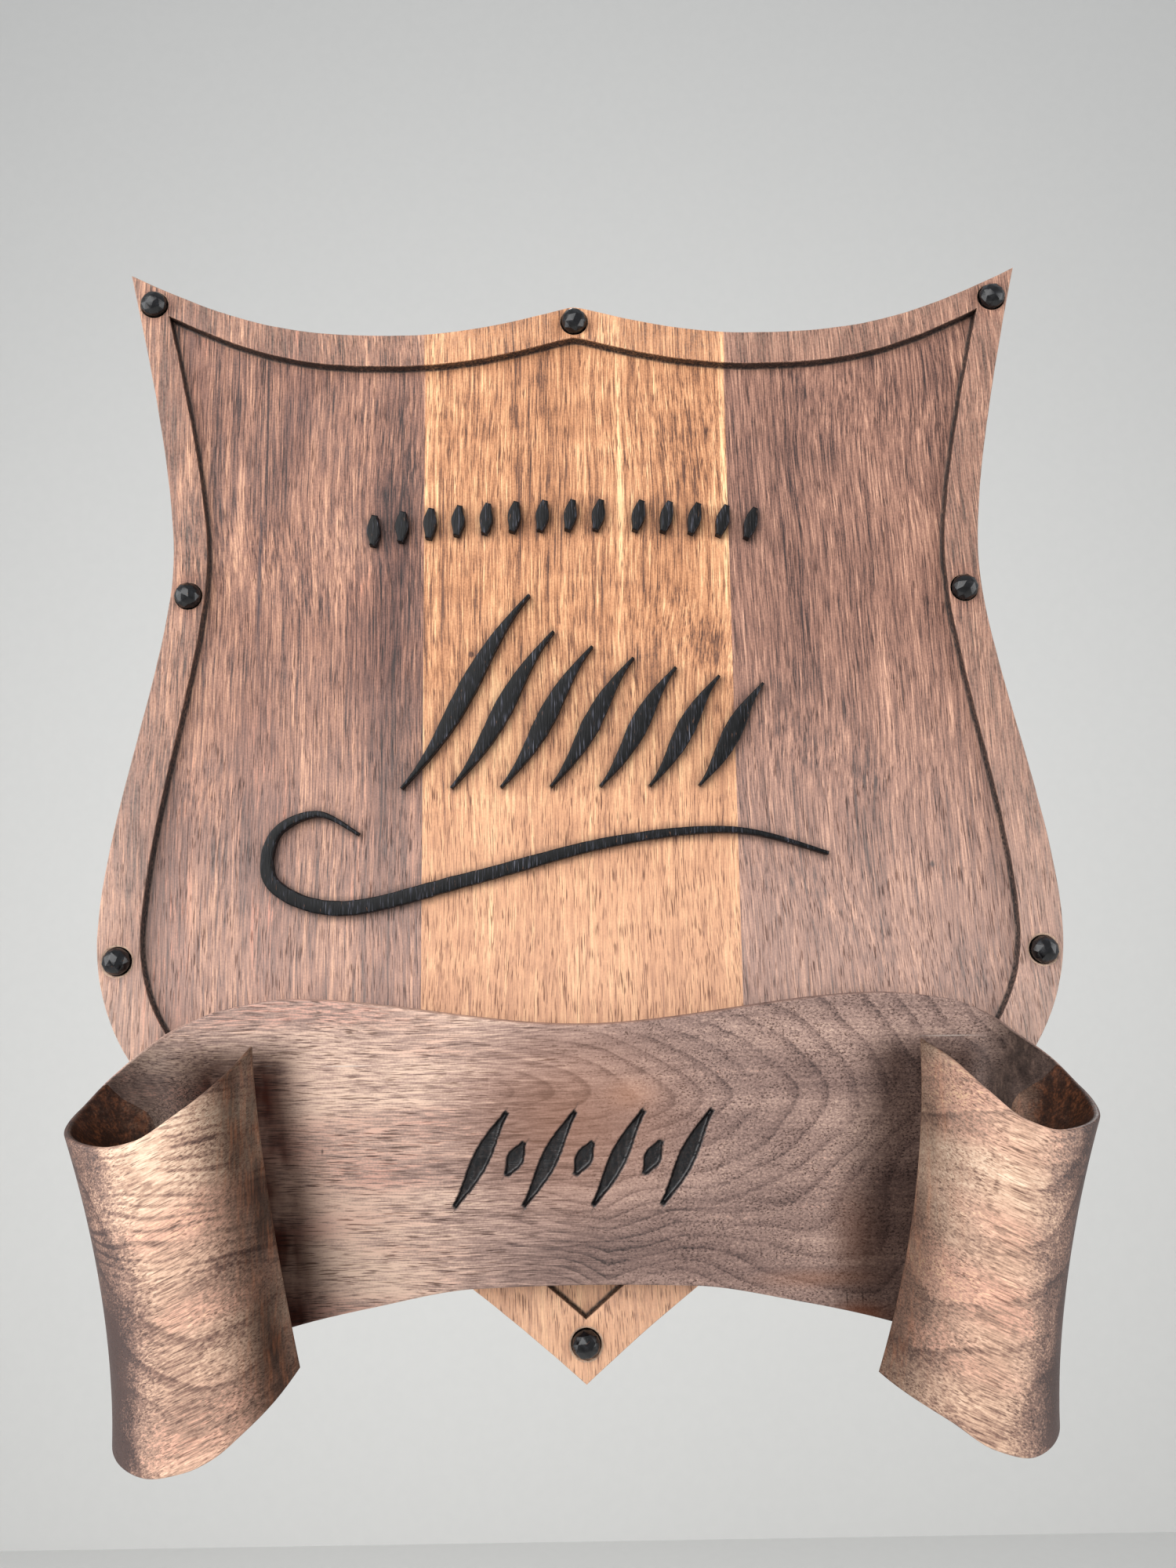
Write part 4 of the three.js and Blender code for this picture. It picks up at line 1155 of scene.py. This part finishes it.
def ribbon_mesh():
    """The whole ribbon, with finer faces where the strokes are cut in its middle."""
    fine = np.arange(-0.415, 0.4151, 0.0038)
    flat = np.concatenate([np.arange(0.44, 0.999, 0.03), [1.0]])
    lip = [1.99, 1.9943, 1.9968, 1.9983, 1.9994, 2.0]
    outward = np.concatenate([flat, np.linspace(1, 1.985, 66)[1:], lip])
    courses = np.concatenate([-outward[::-1], fine, outward])
    height = PANEL_TOP - PANEL_BOTTOM
    low_edge = np.array([0, 0.06, 0.2, 0.45, 0.8, 1.15, 2.2, 4.5, 8, 12.5, 17, 21]) / height
    band = np.arange(25.5, 83.5, 0.62) / height
    above = np.array([87, 91, 95, 99, 103, 107]) / height
    shares = np.concatenate([low_edge, band, above, 1 - low_edge[:6][::-1]])
    shares = np.unique(np.round(shares, 6))
    c, v = np.meshgrid(courses, shares, indexing="ij")
    front, rear = ribbon_points(c, v, True), ribbon_points(c, v, False)
    burnt = np.zeros(c.shape)
    zone = (np.abs(front[..., 0]) < 66) & (np.abs(c) < 0.5)
    zone &= np.abs(front[..., 1] - CUT_ROW_HEIGHT) < 30
    polygons = [stroke_outline(s) for s in cut_strokes()]
    depth, burnt[zone] = knife_marks(front[zone][:, :2], polygons)
    front[zone, 2] -= depth
    rows, columns = len(shares), len(courses)
    count = rows * columns
    verts = np.concatenate([front.reshape(-1, 3), rear.reshape(-1, 3)])
    verts[:, 1] = np.maximum(verts[:, 1], RIBBON_FOOT)
    verts[:, 2] = np.minimum(verts[:, 2], RIBBON_FRONT)
    i, j = np.meshgrid(np.arange(columns - 1), np.arange(rows - 1), indexing="ij")
    a = (i * rows + j).ravel()
    b, d, e = a + rows, a + 1, a + rows + 1
    low, start = np.arange(columns - 1) * rows, np.arange(rows - 1)
    top, last = low + rows - 1, (columns - 1) * rows + start
    quads = [
        (a, b, e, d),
        (a + count, d + count, e + count, b + count),
        (low + count, low + rows + count, low + rows, low),
        (top, top + rows, top + rows + count, top + count),
        (start + count, start, start + 1, start + 1 + count),
        (last, last + count, last + 1 + count, last + 1),
    ]
    faces = np.concatenate([np.stack(corners, 1) for corners in quads])
    mesh = bpy.data.meshes.new("ribbon")
    mesh.from_pydata(places(verts).tolist(), [], faces.tolist())
    angle, is_left = roll_angle(c), c < 0
    # Darker towards each lip on the roll's outer face: partly end grain, partly painted shade on the
    # flank turned away from the light.
    dark = np.where(is_left, smooth(angle, 96, 131), smooth(angle, 92, 138) * 0.85)
    # Darker inside each roll: partly end grain, partly painted shade in its hollow.
    within = smooth(angle, -80, np.where(is_left, -20, -46)) * 0.96
    # Painted shade on the banner: the shadow beside each roll's lip, and the dark deep inside each
    # mouth.
    across = np.abs(front[..., 0])
    from_lip = across - (124 + 25 * v)
    behind = smooth(from_lip, -27, 1) * smooth(-front[..., 1], 108, 128)
    behind *= np.where(is_left, 1.0, 0.85)
    mouth = smooth(across, 140, 172) * smooth(height * (1 - v), 5, 26) * 0.85
    painted_shade = np.maximum(behind, mouth) * (1 - within)
    blank = np.zeros(count)
    add_layers(
        mesh,
        burnt=np.concatenate([burnt.ravel(), blank]),
        raw=np.zeros(2 * count),
        endgrain=np.concatenate([within.ravel(), dark.ravel()]),
        shade=np.concatenate([painted_shade.ravel(), blank]),
    )
    return mesh


ribbon = ribbon_mesh()
glue = (0, -GLUE_LEVEL / 1000, 0)
middle = (0, 0, 0)
for node, key, slot, cuts in (
    ("banner_panel", "banner", "walnut_banner", [(glue, (0, -1, 0))]),
    ("scroll_left", "scroll_left", "walnut_scroll", [(glue, (0, 1, 0)), (middle, rightward)]),
    ("scroll_right", "scroll_right", "walnut_scroll", [(glue, (0, 1, 0)), (middle, leftward)]),
):
    piece = object_from(node + "_wood", slice_of(ribbon, cuts), wood_materials[key], sharp=50)
    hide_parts(node)
bpy.data.meshes.remove(ribbon)


# Studs: domes cut by hand in small flats, each a little different

STUD_SUNK = 2.6


def stud(name, x, y, seed):
    bm = bmesh.new()
    bmesh.ops.create_icosphere(bm, subdivisions=2, radius=1)
    base = BOARD_THICKNESS + STUD_COLLAR
    turn = Matrix.Rotation(seed, 3, "Z") @ Matrix.Rotation(0.4 * seed, 3, "X")
    for v in bm.verts:
        v.co = turn @ v.co
        rough = 1 + 0.035 * noise.noise(Vector(v.co) * 2.1 + Vector((seed, 0, 0)))
        v.co *= min(rough, 1.0)
    whole = bm.verts[:] + bm.edges[:] + bm.faces[:]
    bmesh.ops.bisect_plane(bm, geom=whole, plane_co=(0, 0, 0), plane_no=(0, 0, -1), clear_outer=True)
    rim = [e for e in bm.edges if e.is_boundary]
    for v in bmesh.ops.extrude_edge_only(bm, edges=rim)["geom"]:
        if isinstance(v, bmesh.types.BMVert):
            v.co.z = -(STUD_COLLAR + STUD_SUNK) / STUD_DOME
    bmesh.ops.holes_fill(bm, edges=[e for e in bm.edges if e.is_boundary], sides=0)
    for v in bm.verts:
        px, py, pz = v.co
        v.co = place(x + px * STUD_RADIUS, y + py * STUD_RADIUS, base + pz * STUD_DOME)
    bmesh.ops.recalc_face_normals(bm, faces=bm.faces)
    bevel = dict(offset=0.00022, segments=2, profile=0.5, affect="EDGES", clamp_overlap=True)
    bmesh.ops.bevel(bm, geom=bm.edges[:], **bevel)
    ob = object_from(name + "_dome", bm, stud_material, sharp=60)
    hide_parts(name)


for k, (name, (x, y)) in enumerate(stud_places.items()):
    stud(name, x, y, 0.7 + k * 1.3)


# Plain studio: pale floor and backdrop, soft light


def flat_sheet(name, corners, colour):
    mesh = bpy.data.meshes.new(name)
    mesh.from_pydata(corners, [], [(0, 1, 2, 3)])
    s = Shade(name)
    grain = s.span(s.noise(s.position, 30), 0.3, 0.7, 0, 0.05)
    s.give("Base Color", s.mix(grain, colour, (200, 200, 198)))
    s.give("Roughness", 0.9)
    mesh.materials.append(s.material)
    ob = bpy.data.objects.new(name, mesh)
    scene.collection.objects.link(ob)


FLOOR, FAR, TOP, WIDE, PALE = -1.8, 3.2, 6, 8, (226, 225, 222)
floor_corners = [(-WIDE, -WIDE, FLOOR), (WIDE, -WIDE, FLOOR), (WIDE, WIDE, FLOOR), (-WIDE, WIDE, FLOOR)]
far_corners = [(-WIDE, FAR, FLOOR), (WIDE, FAR, FLOOR), (WIDE, FAR, TOP), (-WIDE, FAR, TOP)]
flat_sheet("floor", floor_corners, PALE)
flat_sheet("backdrop", far_corners, PALE)


def soft_light(name, where, target, size, watts):
    data = bpy.data.lights.new(name, "AREA")
    data.shape = "RECTANGLE"
    data.size, data.size_y = size
    data.energy = watts
    ob = bpy.data.objects.new(name, data)
    ob.location = where
    way = Vector(target) - Vector(where)
    ob.rotation_euler = way.to_track_quat("-Z", "Y").to_euler()
    scene.collection.objects.link(ob)


centre = (0, -0.03, 0)
soft_light("key", (-1.1, -1.9, 0.9), centre, (2.4, 2.0), 60)
soft_light("side_right", (2.4, -0.9, 0.1), centre, (1.8, 2.4), 39)
soft_light("side_left", (-2.4, -0.8, 0.1), centre, (1.8, 2.4), 43)
soft_light("back", (0.4, 2.6, 1.8), (0.4, 0, 1.8), (2.5, 1.5), 73)

world = bpy.data.worlds.new("studio")
world.use_nodes = True
backlight = world.node_tree.nodes["Background"]
backlight.inputs[0].default_value = (0.93, 0.96, 1.0, 1)
backlight.inputs[1].default_value = 0.53
scene.world = world
scene.view_settings.view_transform = "Standard"
